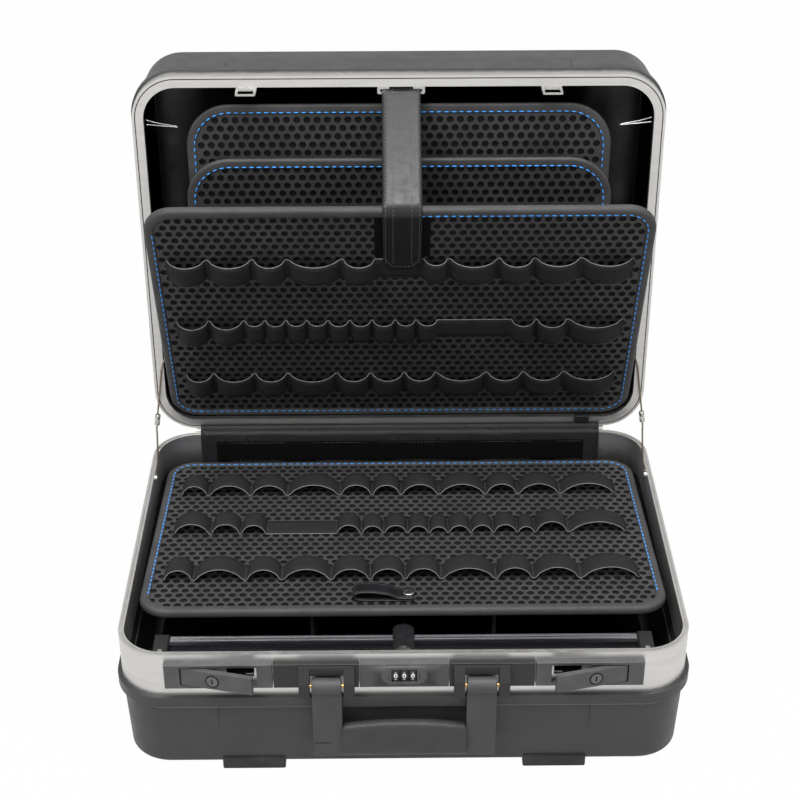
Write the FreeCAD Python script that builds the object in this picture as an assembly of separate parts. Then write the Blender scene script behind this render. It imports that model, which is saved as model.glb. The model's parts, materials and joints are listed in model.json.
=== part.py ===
import FreeCAD, Part
import math
import os
from FreeCAD import Vector

# Hard tool case, open: a tub and a lid of moulded ABS, each edged with an aluminium frame.
# X runs along the front, the front faces -Y and Z is up. Every length is in millimetres.

# Whole case
CASE_W = 507.0
CASE_D = 380.0
CORNER_R = 46.0
BASE_H = 123.5
LID_H = 86.0
FOOT_H = 5.5
LID_GAP = 0.4
LID_OPEN_DEG = 91.0
FIT = 0.3
SHAFT_FIT = 0.06
OVERRUN = 1.0

# Frames and shells, measured inwards from the belt's outer face
BELT_PROUD = 4.0
LEG_T = 1.3
CHANNEL = 2.4
WEB_T = 2.0
BASE_LEG_H = 44.0
BASE_INNER_LEG_H = 35.0
LID_LEG_H = 13.0
LID_INNER_LEG_H = 6.0
LID_FACE_W = 10.7
BELT_H = 13.0
LID_BELT_H = 10.0
LID_BELT_IN = 2.0
BELT_CHAMFER_SHARE = 0.7
WALL_STEP = 4.3
WALL_DRAFT = 3.0
CAVITY_DRAFT = 3.6
FLOOR_T = 3.0
BOTTOM_R = 5.0
CAVITY_R = 6.0
WALL_PLAY = 0.1
RECESS_HALF_W = 163.0
RECESS_DEPTH = 1.6
GROOVE_W = 1.0
GROOVE_DEPTH = 0.8
GROOVE_IN = 2.3
TONGUE_GROOVE_W = 0.7
SEAL_FIT = 0.03

# Feet
FOOT_W = 56.0
FOOT_D = 44.0
FOOT_RISE = 6.0
FOOT_SIDE_IN = 119.5
FOOT_EDGE_R = 2.0
FOOT_INSET = 5.0
FOOT_FIT = 0.03

# Hinge along the rear
HINGE_OUT = 3.0
KNUCKLE_R = 2.6
HINGE_PIN_R = 1.3
KNUCKLE_L = 30.0
KNUCKLES = 14
KNUCKLE_GAP = 0.4
LEAF_T = 1.2
BASE_LEAF_H = 20.0
LID_LEAF_H = 11.5
LEAF_CLEAR = 3.4
RIVET_R = 2.4
RIVET_H = 0.9
LEAF_RIVETS = 7
BASE_RIVET_SHARE = 0.6
LID_RIVET_SHARE = 0.65
HEAD_ROUND_SHARE = 0.6

# Plates on the front of the base frame
PLATE_T = 5.5
PLATE_TOP = 7.3
PLATE_H = 25.0
CENTRE_PLATE_HALF_W = 38.8
BRACKET_PLATE_W = 74.0
LATCH_PLATE_W = 93.0
PLATE_GAP = 0.6
PLATE_EDGE_R = 0.6

# Latch levers, hooks and keepers
LEVER_PIN_IN = 16.4
PIN_SEAT_DEPTH = 1.7
LEVER_PIN_R = 1.2
LEVER_L = 62.4
LEVER_T = 5.0
LEVER_H = 17.0
LEVER_TOP = 11.0
LEVER_AJAR_DEG = 14.0
LEVER_CLEAR = 0.9
LEVER_EDGE_R = 0.8
HOOK_FROM_PIN = 49.0
HOOK_W = 9.0
HOOK_H = 3.8
HOOK_TOP = 12.8
HOOK_REACH = 14.0
HOOK_SEAT_H = 10.0
HOOK_SEAT_T = 1.5
HOOK_WINDOW_W = 24.0
HOOK_PLAY = 1.2
HOOK_NOSE_SHARE = 0.35
KEEPER_W = 19.0
KEEPER_T = 1.5
KEEPER_DROP = 20.0
KEEPER_HOLE_W = 14.4
KEEPER_HOLE_H = 12.0
KEEPER_HOLE_TOP = 5.8
KEY_R = 5.2
KEY_FROM_PIN = 27.0
KEY_DEPTH = 3.2
KEY_PROUD = 0.5
KEY_SLOT_W = 1.4
KEY_SLOT_L = 6.0
KEY_SLOT_DEPTH = 1.9

# Handle and its brackets
HANDLE_X = 66.7
BRACKET_W = 48.0
BRACKET_LEG_W = 9.3
BRACKET_TOP = 8.2
BRACKET_BAR_H = 8.0
BRACKET_BAR_OUT = 4.0
BRACKET_LEG_OUT = 10.0
BRACKET_KNEE = 21.0
BRACKET_BOTTOM = 37.0
PIVOT_OUT = 6.5
PIVOT_DROP = 25.3
KNUCKLE_HANDLE_R = 7.5
HANDLE_PIN_R = 2.0
HANDLE_PIN_IN = 1.9
ARM_W = 25.5
ARM_T = 6.5
HANDLE_REACH = 76.5
GRIP_H = 36.0
GRIP_T = 11.0
GRIP_CROWN = 4.0
GRIP_ROUND_SHARE = 0.4
CROSSBAR_H = 3.2
HANDLE_EDGE_R = 1.2
ARM_SLIT_W = 15.0
ARM_SLIT_H = 1.0
ARM_SLIT_UP = 15.0

# Combination lock
DIAL_R = 9.0
DIAL_W = 6.4
DIAL_PITCH = 7.4
DIAL_DROP = 19.5
DIAL_SINK = 0.2
DIAL_AXLE_R = 1.5
DIAL_WINDOW_W = 6.0
DIAL_WINDOW_H = 13.6
DIAL_RIM_CUT = 0.35
BEZEL_W = 40.0
BEZEL_H = 19.0
BEZEL_PROUD = 0.9
HOUSING_WALL = 1.3
HOUSING_HALF_W = 13.6
BEZEL_ROUND_SHARE = 0.7
WINDOW_WALL_T = 1.65
AXLE_END_IN = 0.5
DIGITS = 10

# Boards
LID_BOARD_GAP = 4.8
LID_BOARD_SHORT = 88.0
BOARD_T = 8.5
BOARD_CORE_T = 5.5
BOARD_R = 28.0
BINDING_W = 9.0
LID_BOARD_LEAN_DEG = 21.0
BACK_BOARD_SIDE_IN = 52.5
BACK_BOARD_T = 5.0
BACK_BOARD_R = 42.0
MIDDLE_BOARD_SHORT = 93.0
REAR_BOARD_SHORT = 51.0
MIDDLE_LEAN_DEG = 6.0
REAR_LEAN_DEG = 2.0
BOARD_EDGE_SHARE = 0.4
BOARD_PLAY = 0.9
FRONT_PIVOT_U = 19.5
FRONT_PIVOT_V = 8.5
BACK_PIVOT_U = 19.0
MIDDLE_PIVOT_V = 17.5
REAR_PIVOT_V = 26.0
BASE_BOARD_GAP = 7.5
BASE_BOARD_FRONT_IN = 68.0
BASE_BOARD_TILT_DEG = 4.5
BASE_BOARD_REAR_DROP = 24.0
BASE_BOARD_REAR_IN = 22.0

# Elastic loops, with the places of their seams as shares of half the board's width
LOOP_BAND = 25.0
LOOP_T = 1.2
LOOP_RISE = 13.0
LOOP_GAP = 0.8
LOOP_RISE_SHARE = 0.46
LID_TOP_ROW_IN = 62.5
LID_BOTTOM_ROW = 66.3
LID_MIDDLE_ROW_SHARE = 0.482
BASE_FRONT_ROW = 78.4
BASE_REAR_ROW_IN = 48.6
BASE_MIDDLE_ROW_SHARE = 0.523
LID_TOP_SHARES = (-0.97, -0.80, -0.61, -0.47, -0.24, -0.10, 0.095, 0.20, 0.41, 0.555, 0.75, 0.97)
LID_MIDDLE_SHARES = (-0.965, -0.82, -0.67, -0.58, -0.49, -0.40, -0.31, -0.215, -0.12, -0.02,
                     0.07, 0.165, 0.475, 0.585, 0.72, 0.965)
LID_BOTTOM_SHARES = (-0.955, -0.83, -0.645, -0.50, -0.28, -0.13, 0.02, 0.16, 0.385, 0.55,
                     0.73, 0.96)
BASE_REAR_SHARES = (-0.96, -0.84, -0.655, -0.495, -0.265, -0.125, 0.0, 0.165, 0.37, 0.51,
                    0.695, 0.94)
BASE_MIDDLE_SHARES = (-0.96, -0.80, -0.675, -0.565, -0.275, -0.17, -0.075, 0.025, 0.115, 0.195,
                      0.29, 0.385, 0.485, 0.56, 0.70, 0.95)
BASE_FRONT_SHARES = (-0.96, -0.84, -0.63, -0.485, -0.285, -0.13, 0.01, 0.155, 0.375, 0.525,
                     0.715, 0.955)
LID_FLAT_SHARE = 0.165
STRAP_FLAT_SHARE = -0.10
BASE_FLAT_SHARE = -0.565

# Strap over the lid's front board
STRAP_W = 36.0
STRAP_T = 2.4
STRAP_X = 2.0
STRAP_BEND_R = 7.0
STRAP_LAP = 74.0
STRAP_CLEAR = 0.4
STRAP_TIP_SHARE = 0.3
CLIP_W = 11.0
CLIP_REACH = 7.0
CLIP_T = 1.4
CLIP_X = 16.5
CLIP_SLOT_W = 6.0
CLIP_SLOT_H = 2.2

# Pull loop on the base board
PULL_L = 54.0
PULL_W = 18.0
PULL_T = 1.8
PULL_RISE = 9.0
PULL_BEND_R = 3.4
PULL_LIFT_SHARE = 0.5
PULL_FROM_FRONT = 15.0
PULL_X = 10.0
PULL_RIVET_R = 5.0
PULL_RIVET_H = 1.4

# Inside the base
RAIL_SIDE_IN = 47.5
RAIL_DROP = 18.0
RAIL_BACK_IN = 54.0
RAIL_W = 34.0
RAIL_H = 11.0
RAIL_GROOVE_W = 10.0
RAIL_GROOVE_DEPTH = 4.0
RAIL_RIB_W = 1.6
RAIL_RIB_DEPTH = 0.8
RAIL_RIBS = 3
HOLDER_W = 14.0
HOLDER_RISE = 2.0
HOLDER_SCREW_SHARE = 0.7
TAB_W = 19.0
TAB_T = 1.8
TAB_REACH = 14.0
TAB_ROUND_SHARE = 0.35
SNAP_R = 6.2
SNAP_H = 1.8
SNAP_FROM_FRONT = 8.7
PANEL_T = 3.0
DIVIDER_X = 82.0
DIVIDER_H = 52.0
DIVIDER_REAR_GAP = 40.0
DIVIDER_STEP_IN = 82.0
LEDGE_SIDE_IN = 53.5
LEDGE_REACH = 34.0
LEDGE_T = 2.0
LEDGE_H = 12.0
LEDGE_GAP = 0.3
LEDGE_WALL_GAP = 0.7
MAT_T = 2.0
MAT_PLAY = 1.5

# Hinge cover and hook-and-loop strip
COVER_SIDE_IN = 48.5
COVER_T = 1.6
COVER_STAND = 0.4
COVER_TOP = 8.4
COVER_LID_RUN = 3.0
COVER_BEND_RUN = 6.0
COVER_DROP = 35.0
COVER_BEND_R = 1.4
STRIP_SIDE_IN = 64.5
STRIP_TOP = 7.2
STRIP_H = 24.0
STRIP_T = 1.5

# Lid stays
STAY_R = 0.9
STAY_SCREW_R = 3.6
STAY_SCREW_H = 2.6
STAY_SCREW_IN = 84.0
STAY_SCREW_DROP = 5.0
STAY_WALL_GAP = 1.2
STAY_LIFT_RUN = 22.0
STAY_LIFT = 2.4
STAY_KNEE_SIDE_IN = 3.6
STAY_KNEE_Y = 9.0
STAY_KNEE_RISE = 4.0
STAY_TOP_SIDE_IN = 12.6
STAY_TOP_OUT = 2.4
STAY_TOP_RISE = 72.0
STAY_TURN_SIDE_IN = 19.5
STAY_TURN_IN = 3.6
STAY_TURN_RISE = 90.0
STAY_BEND_R = 8.0
STAY_END_BEND_R = 2.0
FERRULE_R = 2.8
FERRULE_L = 12.0
STAY_HEAD_SHARE = 0.3

# Board rail and clip in the lid, name plate on the lid's front wall
LID_RAIL_SIDE_IN = 63.5
LID_RAIL_START = 7.0
LID_RAIL_END = 31.0
LID_RAIL_BACK = 8.6
CLIP_KNOB_W = 15.0
CLIP_KNOB_L = 8.4
CLIP_KNOB_H = 5.2
CLIP_KNOB_SIDE_IN = 66.5
CLIP_KNOB_U = 13.4
CLIP_KNOB_EDGE_R = 1.4
NAME_W = 58.0
NAME_L = 21.0
NAME_T = 1.2
NAME_CORNER_R = 2.4
NAME_PROUD = 0.6
NAME_RISE = 57.0

# Lengths and places that follow from the sizes above
RIM_Z = FOOT_H + BASE_H
LID_Z = RIM_Z + LID_GAP
HINGE_Y = HINGE_OUT - BELT_PROUD
FRAME_FRONT_Y = BELT_PROUD - CASE_D
PLATE_FRONT_Y = FRAME_FRONT_Y - PLATE_T
FRAME_W = LEG_T + CHANNEL + LEG_T
BASE_INNER = BELT_PROUD + FRAME_W
LID_INNER = BELT_PROUD + LID_FACE_W
WALL_OUT = BELT_PROUD + LEG_T + WALL_PLAY
WALL_IN = BELT_PROUD + LEG_T + CHANNEL - WALL_PLAY
HINGE_HALF_L = KNUCKLES * KNUCKLE_L / 2
PIVOT_Y = PLATE_FRONT_Y - PIVOT_OUT
PIVOT_Z = RIM_Z - PIVOT_DROP
LEVER_Y = PLATE_FRONT_Y + LEVER_T / 2
LEVER_MID_Z = RIM_Z - LEVER_TOP - LEVER_H / 2
DIAL_Y = PLATE_FRONT_Y - BEZEL_PROUD + DIAL_SINK + DIAL_R
DIAL_Z = RIM_Z - DIAL_DROP
KEEPER_Y = LID_INNER - CASE_D
FOOT_X = CASE_W / 2 - FOOT_SIDE_IN
BRACKET_PLATE_END = CENTRE_PLATE_HALF_W + BRACKET_PLATE_W
LATCH_PLATE_END = BRACKET_PLATE_END + PLATE_GAP + LATCH_PLATE_W
LEVER_PIN_X = LATCH_PLATE_END - LEVER_PIN_IN
HOOK_X = LEVER_PIN_X - HOOK_FROM_PIN
LID_BOARD_W = CASE_W - 2 * LID_INNER - 2 * LID_BOARD_GAP
LID_BOARD_H = CASE_D - LID_BOARD_SHORT
BACK_BOARD_W = CASE_W - 2 * BACK_BOARD_SIDE_IN
MIDDLE_BOARD_H = CASE_D - MIDDLE_BOARD_SHORT
REAR_BOARD_H = CASE_D - REAR_BOARD_SHORT
BASE_BOARD_W = CASE_W - 2 * BASE_INNER - 2 * BASE_BOARD_GAP
BASE_BOARD_H = CASE_D - BASE_BOARD_REAR_IN - BASE_BOARD_FRONT_IN
LID_TOP_ROW = LID_BOARD_H - LID_TOP_ROW_IN
LID_MIDDLE_ROW = LID_BOTTOM_ROW + LID_MIDDLE_ROW_SHARE * (LID_TOP_ROW - LID_BOTTOM_ROW)
BASE_REAR_ROW = BASE_BOARD_H - BASE_REAR_ROW_IN
BASE_MIDDLE_ROW = BASE_FRONT_ROW + BASE_MIDDLE_ROW_SHARE * (BASE_REAR_ROW - BASE_FRONT_ROW)
LID_ROW_TOPS = (LID_TOP_ROW, LID_MIDDLE_ROW, LID_BOTTOM_ROW)
BASE_ROW_TOPS = (BASE_FRONT_ROW, BASE_MIDDLE_ROW, BASE_REAR_ROW)
RAIL_HALF_L = CASE_W / 2 - RAIL_SIDE_IN
LEDGE_HALF_L = CASE_W / 2 - LEDGE_SIDE_IN
COVER_HALF_W = CASE_W / 2 - COVER_SIDE_IN
STRIP_HALF_W = CASE_W / 2 - STRIP_SIDE_IN
LID_RAIL_HALF_L = CASE_W / 2 - LID_RAIL_SIDE_IN
CLIP_KNOB_X = CASE_W / 2 - CLIP_KNOB_SIDE_IN
STAY_KNEE_X = CASE_W / 2 - STAY_KNEE_SIDE_IN
STAY_TOP_X = CASE_W / 2 - STAY_TOP_SIDE_IN
STAY_TURN_X = CASE_W / 2 - STAY_TURN_SIDE_IN
STAY_BENDS = (STAY_BEND_R, STAY_BEND_R, STAY_BEND_R, STAY_END_BEND_R)
AXIS_X = Vector(1, 0, 0)
AXIS_Y = Vector(0, 1, 0)
AXIS_Z = Vector(0, 0, 1)
ORIGIN = Vector(0, 0, 0)


def box(x0, x1, y0, y1, z0, z1):
    """A block between two corners."""
    return Part.makeBox(x1 - x0, y1 - y0, z1 - z0, Vector(x0, y0, z0))


def rod(axis, radius, start, length):
    """A cylinder that starts at a point and runs along an axis."""
    return Part.makeCylinder(radius, length, start, axis)


def rounded_wire(x0, x1, y0, y1, radius, z):
    """A rectangle with round corners, lying at a height."""
    centres = ((x1 - radius, y1 - radius), (x0 + radius, y1 - radius),
               (x0 + radius, y0 + radius), (x1 - radius, y0 + radius))
    arcs = []
    for index, (cx, cy) in enumerate(centres):
        points = []
        for step in (0, 1, 2):
            angle = (2 * index + step) * math.pi / 4
            points.append(Vector(cx + radius * math.cos(angle), cy + radius * math.sin(angle), z))
        arcs.append(Part.Arc(*points).toShape())
    edges = []
    for arc, following in zip(arcs, arcs[1:] + arcs[:1]):
        edges.append(arc)
        edges.append(Part.makeLine(arc.Vertexes[-1].Point, following.Vertexes[0].Point))
    return Part.Wire(edges)


def outline(inset, z):
    """The case's outline at a height, a distance inside the belt's outer face."""
    half = CASE_W / 2 - inset
    return rounded_wire(-half, half, inset - CASE_D, -inset, CORNER_R - inset, z)


def slab(inset, z0, z1):
    """A plate with the case's outline."""
    return Part.Face(outline(inset, z0)).extrude(Vector(0, 0, z1 - z0))


def ring(outer, inner, z0, z1):
    """A wall that follows the case's outline."""
    return slab(outer, z0, z1).cut(slab(inner, z0, z1))


def taper(inset0, z0, inset1, z1):
    """A block whose outline narrows from one height to another."""
    return Part.makeLoft([outline(inset0, z0), outline(inset1, z1)], True, True)


def edges_at(shape, z):
    """The edges of a shape that lie wholly at a height."""
    near = FIT / 2
    found = []
    for edge in shape.Edges:
        box_of = edge.BoundBox
        if abs(box_of.ZMin - z) < near and abs(box_of.ZMax - z) < near:
            found.append(edge)
    return found


def edges_facing(shape, y):
    """The edges of a shape that lie wholly in the upright plane at a depth."""
    near = FIT / 2
    found = []
    for edge in shape.Edges:
        box_of = edge.BoundBox
        if abs(box_of.YMin - y) < near and abs(box_of.YMax - y) < near:
            found.append(edge)
    return found


def edges_along(shape, axis):
    """The straight edges of a shape that run along an axis."""
    found = []
    for edge in shape.Edges:
        if edge.Curve.TypeId != "Part::GeomLine":
            continue
        run = edge.Vertexes[1].Point - edge.Vertexes[0].Point
        if abs(abs(run.normalize().dot(axis)) - 1) < 1e-6:
            found.append(edge)
    return found


def side_profile(points, x0, x1):
    """A closed outline of y, z points, drawn out along X."""
    corners = [Vector(x0, y, z) for y, z in points]
    return Part.Face(Part.makePolygon(corners + corners[:1])).extrude(Vector(x1 - x0, 0, 0))


def mirrored(shape):
    """The same shape on the other side of the case's middle."""
    return shape.mirror(ORIGIN, AXIS_X)


def opened(shape):
    """A piece of the closed lid, turned up with the lid."""
    turned = shape.copy()
    turned.rotate(Vector(0, HINGE_Y, RIM_Z), AXIS_X, -LID_OPEN_DEG)
    return turned


def lid_place(u, v):
    """Where the open lid puts the point u from the hinge line along its rim and v inside it."""
    angle = math.radians(LID_OPEN_DEG)
    y = -u * math.cos(angle) + (v + LID_GAP) * math.sin(angle)
    z = u * math.sin(angle) + (v + LID_GAP) * math.cos(angle)
    return HINGE_Y + y, RIM_Z + z


def arc_points(a, b, c, radius):
    """Where an arc of a radius that rounds the corner b starts, passes and ends."""
    to_a = (a - b).normalize()
    to_c = (c - b).normalize()
    half = to_a.getAngle(to_c) / 2
    middle = (to_a + to_c).normalize()
    centre = b + middle * (radius / math.sin(half))
    reach = radius / math.tan(half)
    return b + to_a * reach, centre - middle * radius, b + to_c * reach


def rounded_path(points, bends):
    """Straight runs joined by tangent arcs, with one radius for all corners or one for each."""
    edges = []
    last = points[0]
    if not isinstance(bends, tuple):
        bends = (bends,) * (len(points) - 2)
    for a, b, c, radius in zip(points, points[1:], points[2:], bends):
        start, middle, end = arc_points(a, b, c, radius)
        edges.append(Part.makeLine(last, start))
        edges.append(Part.Arc(start, middle, end).toShape())
        last = end
    edges.append(Part.makeLine(last, points[-1]))
    return Part.Wire(edges)


def tube(points, radius, bend):
    """A round cord along runs and arcs."""
    path = rounded_path(points, bend)
    start = points[0]
    circle = Part.Wire(Part.makeCircle(radius, start, points[1] - start))
    return path.makePipeShell([circle], True, False)


def band(points, thickness, bend, x0, x1):
    """A flat band of a thickness: y, z points along its middle, drawn out along X."""
    line = rounded_path([Vector(x0, y, z) for y, z in points], bend)
    start = Vector(x0, *points[0])
    run = (Vector(x0, *points[1]) - start).normalize()
    side = AXIS_X.cross(run) * (thickness / 2)
    span = Vector(x1 - x0, 0, 0)
    corners = [start - side, start + side, start + side + span, start - side + span]
    section = Part.makePolygon(corners + corners[:1])
    return line.makePipeShell([section], True, False)


def front_hollow(offset, z0, z1):
    """The shallow recess along the middle of a shell's front wall."""
    front = offset - CASE_D
    return box(-RECESS_HALF_W, RECESS_HALF_W, front - CASE_D, front + RECESS_DEPTH, z0, z1)


def shell(height, leg, inner_leg, belt_h, belt_in):
    """A tub of ABS, mouth up at zero: its edge in the frame, its belt, its wall and its floor."""
    belt_top = -leg
    belt_low = belt_top - belt_h
    outer = taper(WALL_STEP, belt_low, WALL_STEP + WALL_DRAFT, -height)
    outer = outer.makeFillet(BOTTOM_R, edges_at(outer, -height))
    outer = outer.cut(front_hollow(WALL_STEP, -height, belt_low))
    belt = slab(belt_in, belt_low, belt_top)
    chamfer = (WALL_STEP - belt_in) * BELT_CHAMFER_SHARE
    belt = belt.makeChamfer(chamfer, edges_at(belt, belt_low))
    lip = slab(WALL_OUT, belt_top, -WEB_T - WALL_PLAY)
    floor = FLOOR_T - height
    start = -inner_leg - FIT
    cavity = taper(WALL_IN, start, WALL_IN + CAVITY_DRAFT, floor)
    cavity = cavity.makeFillet(CAVITY_R, edges_at(cavity, floor))
    mouth = slab(WALL_IN, start - FIT, 0)
    return outer.fuse([belt, lip]).cut([cavity, mouth]).removeSplitter()


def base_frame():
    """The extruded edge of the base: a channel over the shell's wall, with a thin groove on top."""
    top = RIM_Z
    frame = ring(BELT_PROUD, BASE_INNER, top - WEB_T, top)
    frame = frame.fuse(ring(BELT_PROUD, BELT_PROUD + LEG_T, top - BASE_LEG_H, top - WEB_T))
    inner = BASE_INNER - LEG_T
    frame = frame.fuse(ring(inner, BASE_INNER, top - BASE_INNER_LEG_H, top - WEB_T))
    groove = BELT_PROUD + GROOVE_IN
    frame = frame.cut(ring(groove, groove + TONGUE_GROOVE_W, top - GROOVE_DEPTH, top + OVERRUN))
    return frame.cut(front_windows()).removeSplitter()


def front_windows():
    """The openings in the front frame for the dials' housing and the two latch hooks."""
    y0 = FRAME_FRONT_Y - OVERRUN
    y1 = BASE_INNER - CASE_D + OVERRUN
    half = HOUSING_HALF_W + FIT
    low = DIAL_Z - DIAL_R - HOUSING_WALL - 2 * FIT
    high = DIAL_Z + DIAL_R + HOUSING_WALL + 2 * FIT
    cuts = [box(-half, half, y0, y1, low, high)]
    top = RIM_Z - HOOK_TOP + HOOK_PLAY
    for side in (-1, 1):
        x = side * HOOK_X
        cuts.append(box(x - HOOK_WINDOW_W / 2, x + HOOK_WINDOW_W / 2, y0, y1,
                        top - HOOK_SEAT_H - 2 * HOOK_PLAY, top))
    return cuts[0].fuse(cuts[1:])


def base_shell():
    """The lower tub, cut where the lock housing and the latch hooks pass through its lip."""
    tub = shell(BASE_H, BASE_LEG_H, BASE_INNER_LEG_H, BELT_H, 0)
    tub.translate(Vector(0, 0, RIM_Z))
    return tub.cut(front_windows())


def lid_shell():
    """The lid's shell, with the shallow seat of the name plate in its front wall."""
    tub = shell(LID_H, LID_LEG_H, LID_INNER_LEG_H, LID_BELT_H, LID_BELT_IN)
    tub.rotate(Vector(0, -CASE_D / 2, 0), AXIS_Z, 180)
    tub.rotate(ORIGIN, AXIS_X, 180)
    tub.translate(Vector(0, -CASE_D, LID_Z))
    seat = name_plate_block(FIT)
    return opened(tub.cut(seat))


def name_wall_y():
    """The front wall's outer face on the closed lid, where the name plate sits."""
    belt_end = LID_LEG_H + LID_BELT_H
    share = (NAME_RISE - belt_end) / (LID_H - belt_end)
    return WALL_STEP + RECESS_DEPTH + WALL_DRAFT * share - CASE_D


def name_plate_block(play):
    """The space of the name plate on the closed lid."""
    front = name_wall_y() - NAME_PROUD
    half = NAME_W / 2 + play
    rise = NAME_L / 2 + play
    mid = LID_Z + NAME_RISE
    return box(-half, half, front, front + NAME_T + play, mid - rise, mid + rise)


def name_plate():
    """A bare plate with rounded corners, set into the lid's front wall."""
    plate = name_plate_block(0)
    plate = plate.makeFillet(NAME_CORNER_R, edges_along(plate, AXIS_Y))
    return opened(plate)


def lid_frame():
    """The lid's extruded edge: a flat face with a seal groove, an outer leg and a short inner leg."""
    z = LID_Z
    frame = ring(BELT_PROUD, LID_INNER, z, z + WEB_T)
    frame = frame.fuse(ring(BELT_PROUD, BELT_PROUD + LEG_T, z + WEB_T, z + LID_LEG_H))
    frame = frame.fuse(ring(LID_INNER - LEG_T, LID_INNER, z + WEB_T, z + LID_INNER_LEG_H))
    frame = frame.cut(seal_block(0))
    return opened(frame.removeSplitter())


def seal_block(play):
    """The space of the seal in the lid frame's face."""
    groove = BELT_PROUD + GROOVE_IN
    return ring(groove + play, groove + GROOVE_W - play, LID_Z, LID_Z + GROOVE_DEPTH)


def feet():
    """Four gliders under the corners, hollowed to the shell's rounded bottom edge."""
    outside = taper(WALL_STEP - FOOT_FIT, BASE_H - BASE_LEG_H - BELT_H,
                    WALL_STEP + WALL_DRAFT - FOOT_FIT, 0)
    outside = outside.makeFillet(BOTTOM_R, edges_at(outside, 0))
    outside.translate(Vector(0, 0, FOOT_H))
    blocks = []
    for x in (-FOOT_X, FOOT_X):
        for front in (FOOT_INSET - CASE_D, -FOOT_INSET - FOOT_D):
            block = box(x - FOOT_W / 2, x + FOOT_W / 2, front, front + FOOT_D,
                        0, FOOT_H + FOOT_RISE)
            block = block.makeFillet(FOOT_EDGE_R, edges_along(block, AXIS_Z))
            blocks.append(block.cut(outside))
    return blocks


def knuckle(index, radius):
    """One knuckle's cylinder on the hinge line."""
    x = index * KNUCKLE_L - HINGE_HALF_L
    start = Vector(x + KNUCKLE_GAP / 2, HINGE_Y, RIM_Z)
    return rod(AXIS_X, radius, start, KNUCKLE_L - KNUCKLE_GAP)


def hinge_leaf(first, up):
    """A leaf with every second knuckle. The base's leaf hangs down, and the lid's stands up."""
    face = -BELT_PROUD
    height = LID_LEAF_H if up else BASE_LEAF_H
    z0, z1 = (LEAF_CLEAR, height) if up else (-height, -LEAF_CLEAR)
    leaf = box(-HINGE_HALF_L, HINGE_HALF_L, face, face + LEAF_T, RIM_Z + z0, RIM_Z + z1)
    pieces = []
    for index in range(first, KNUCKLES, 2):
        barrel = knuckle(index, KNUCKLE_R)
        x0 = barrel.BoundBox.XMin
        x1 = barrel.BoundBox.XMax
        near = HINGE_Y - KNUCKLE_R
        web_z = (0, LEAF_CLEAR) if up else (-LEAF_CLEAR, 0)
        web = box(x0, x1, near, near + LEAF_T, RIM_Z + web_z[0], RIM_Z + web_z[1])
        foot = box(x0, x1, face, near + LEAF_T, RIM_Z + min(z0, z1, key=abs) - LEAF_T / 2,
                   RIM_Z + min(z0, z1, key=abs) + LEAF_T / 2)
        pieces += [barrel, web, foot]
    leaf = leaf.fuse(pieces)
    bore = rod(AXIS_X, HINGE_PIN_R + SHAFT_FIT, Vector(-HINGE_HALF_L, HINGE_Y, RIM_Z),
               2 * HINGE_HALF_L)
    return leaf.cut(bore).removeSplitter()


def leaf_rivets(z):
    """The rivet heads along a leaf."""
    step = 2 * HINGE_HALF_L / LEAF_RIVETS
    heads = []
    for index in range(LEAF_RIVETS):
        x = step * (index + 0.5) - HINGE_HALF_L
        face = LEAF_T - BELT_PROUD
        head = rod(AXIS_Y, RIVET_R, Vector(x, face, z), RIVET_H)
        heads.append(head.makeFillet(RIVET_H * HEAD_ROUND_SHARE,
                                      edges_facing(head, face + RIVET_H)))
    return heads


def front_plate(x0, x1):
    """A plate on the frame's front face, with softened edges."""
    top = RIM_Z - PLATE_TOP
    plate = box(x0, x1, PLATE_FRONT_Y, FRAME_FRONT_Y, top - PLATE_H, top)
    return plate.makeFillet(PLATE_EDGE_R, edges_facing(plate, PLATE_FRONT_Y))


def latch_plate():
    """The left latch's plate, with the lever's recess and the holes of its pin."""
    plate = front_plate(-LATCH_PLATE_END, -BRACKET_PLATE_END - PLATE_GAP)
    clear = LEVER_CLEAR
    recess = box(-LEVER_PIN_X - LEVER_T / 2 - clear / 2, -LEVER_PIN_X + LEVER_L + clear,
                 PLATE_FRONT_Y - OVERRUN, FRAME_FRONT_Y + OVERRUN,
                 LEVER_MID_Z - LEVER_H / 2 - clear, LEVER_MID_Z + LEVER_H / 2 + clear)
    bore = lever_pin(SHAFT_FIT / 2, PIN_SEAT_DEPTH + SHAFT_FIT)
    return plate.cut(recess).cut(bore)


def lever_pin(play, extra):
    """The left lever's pin, which reaches into the plate above and below."""
    half = LEVER_H / 2 + LEVER_CLEAR + extra
    start = Vector(-LEVER_PIN_X, LEVER_Y, LEVER_MID_Z - half)
    return rod(AXIS_Z, LEVER_PIN_R + play, start, 2 * half)


def swing(shape):
    """A piece of the left lever, turned from closed to ajar."""
    turned = shape.copy()
    turned.rotate(Vector(-LEVER_PIN_X, LEVER_Y, 0), AXIS_Z, -LEVER_AJAR_DEG)
    return turned


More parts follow.
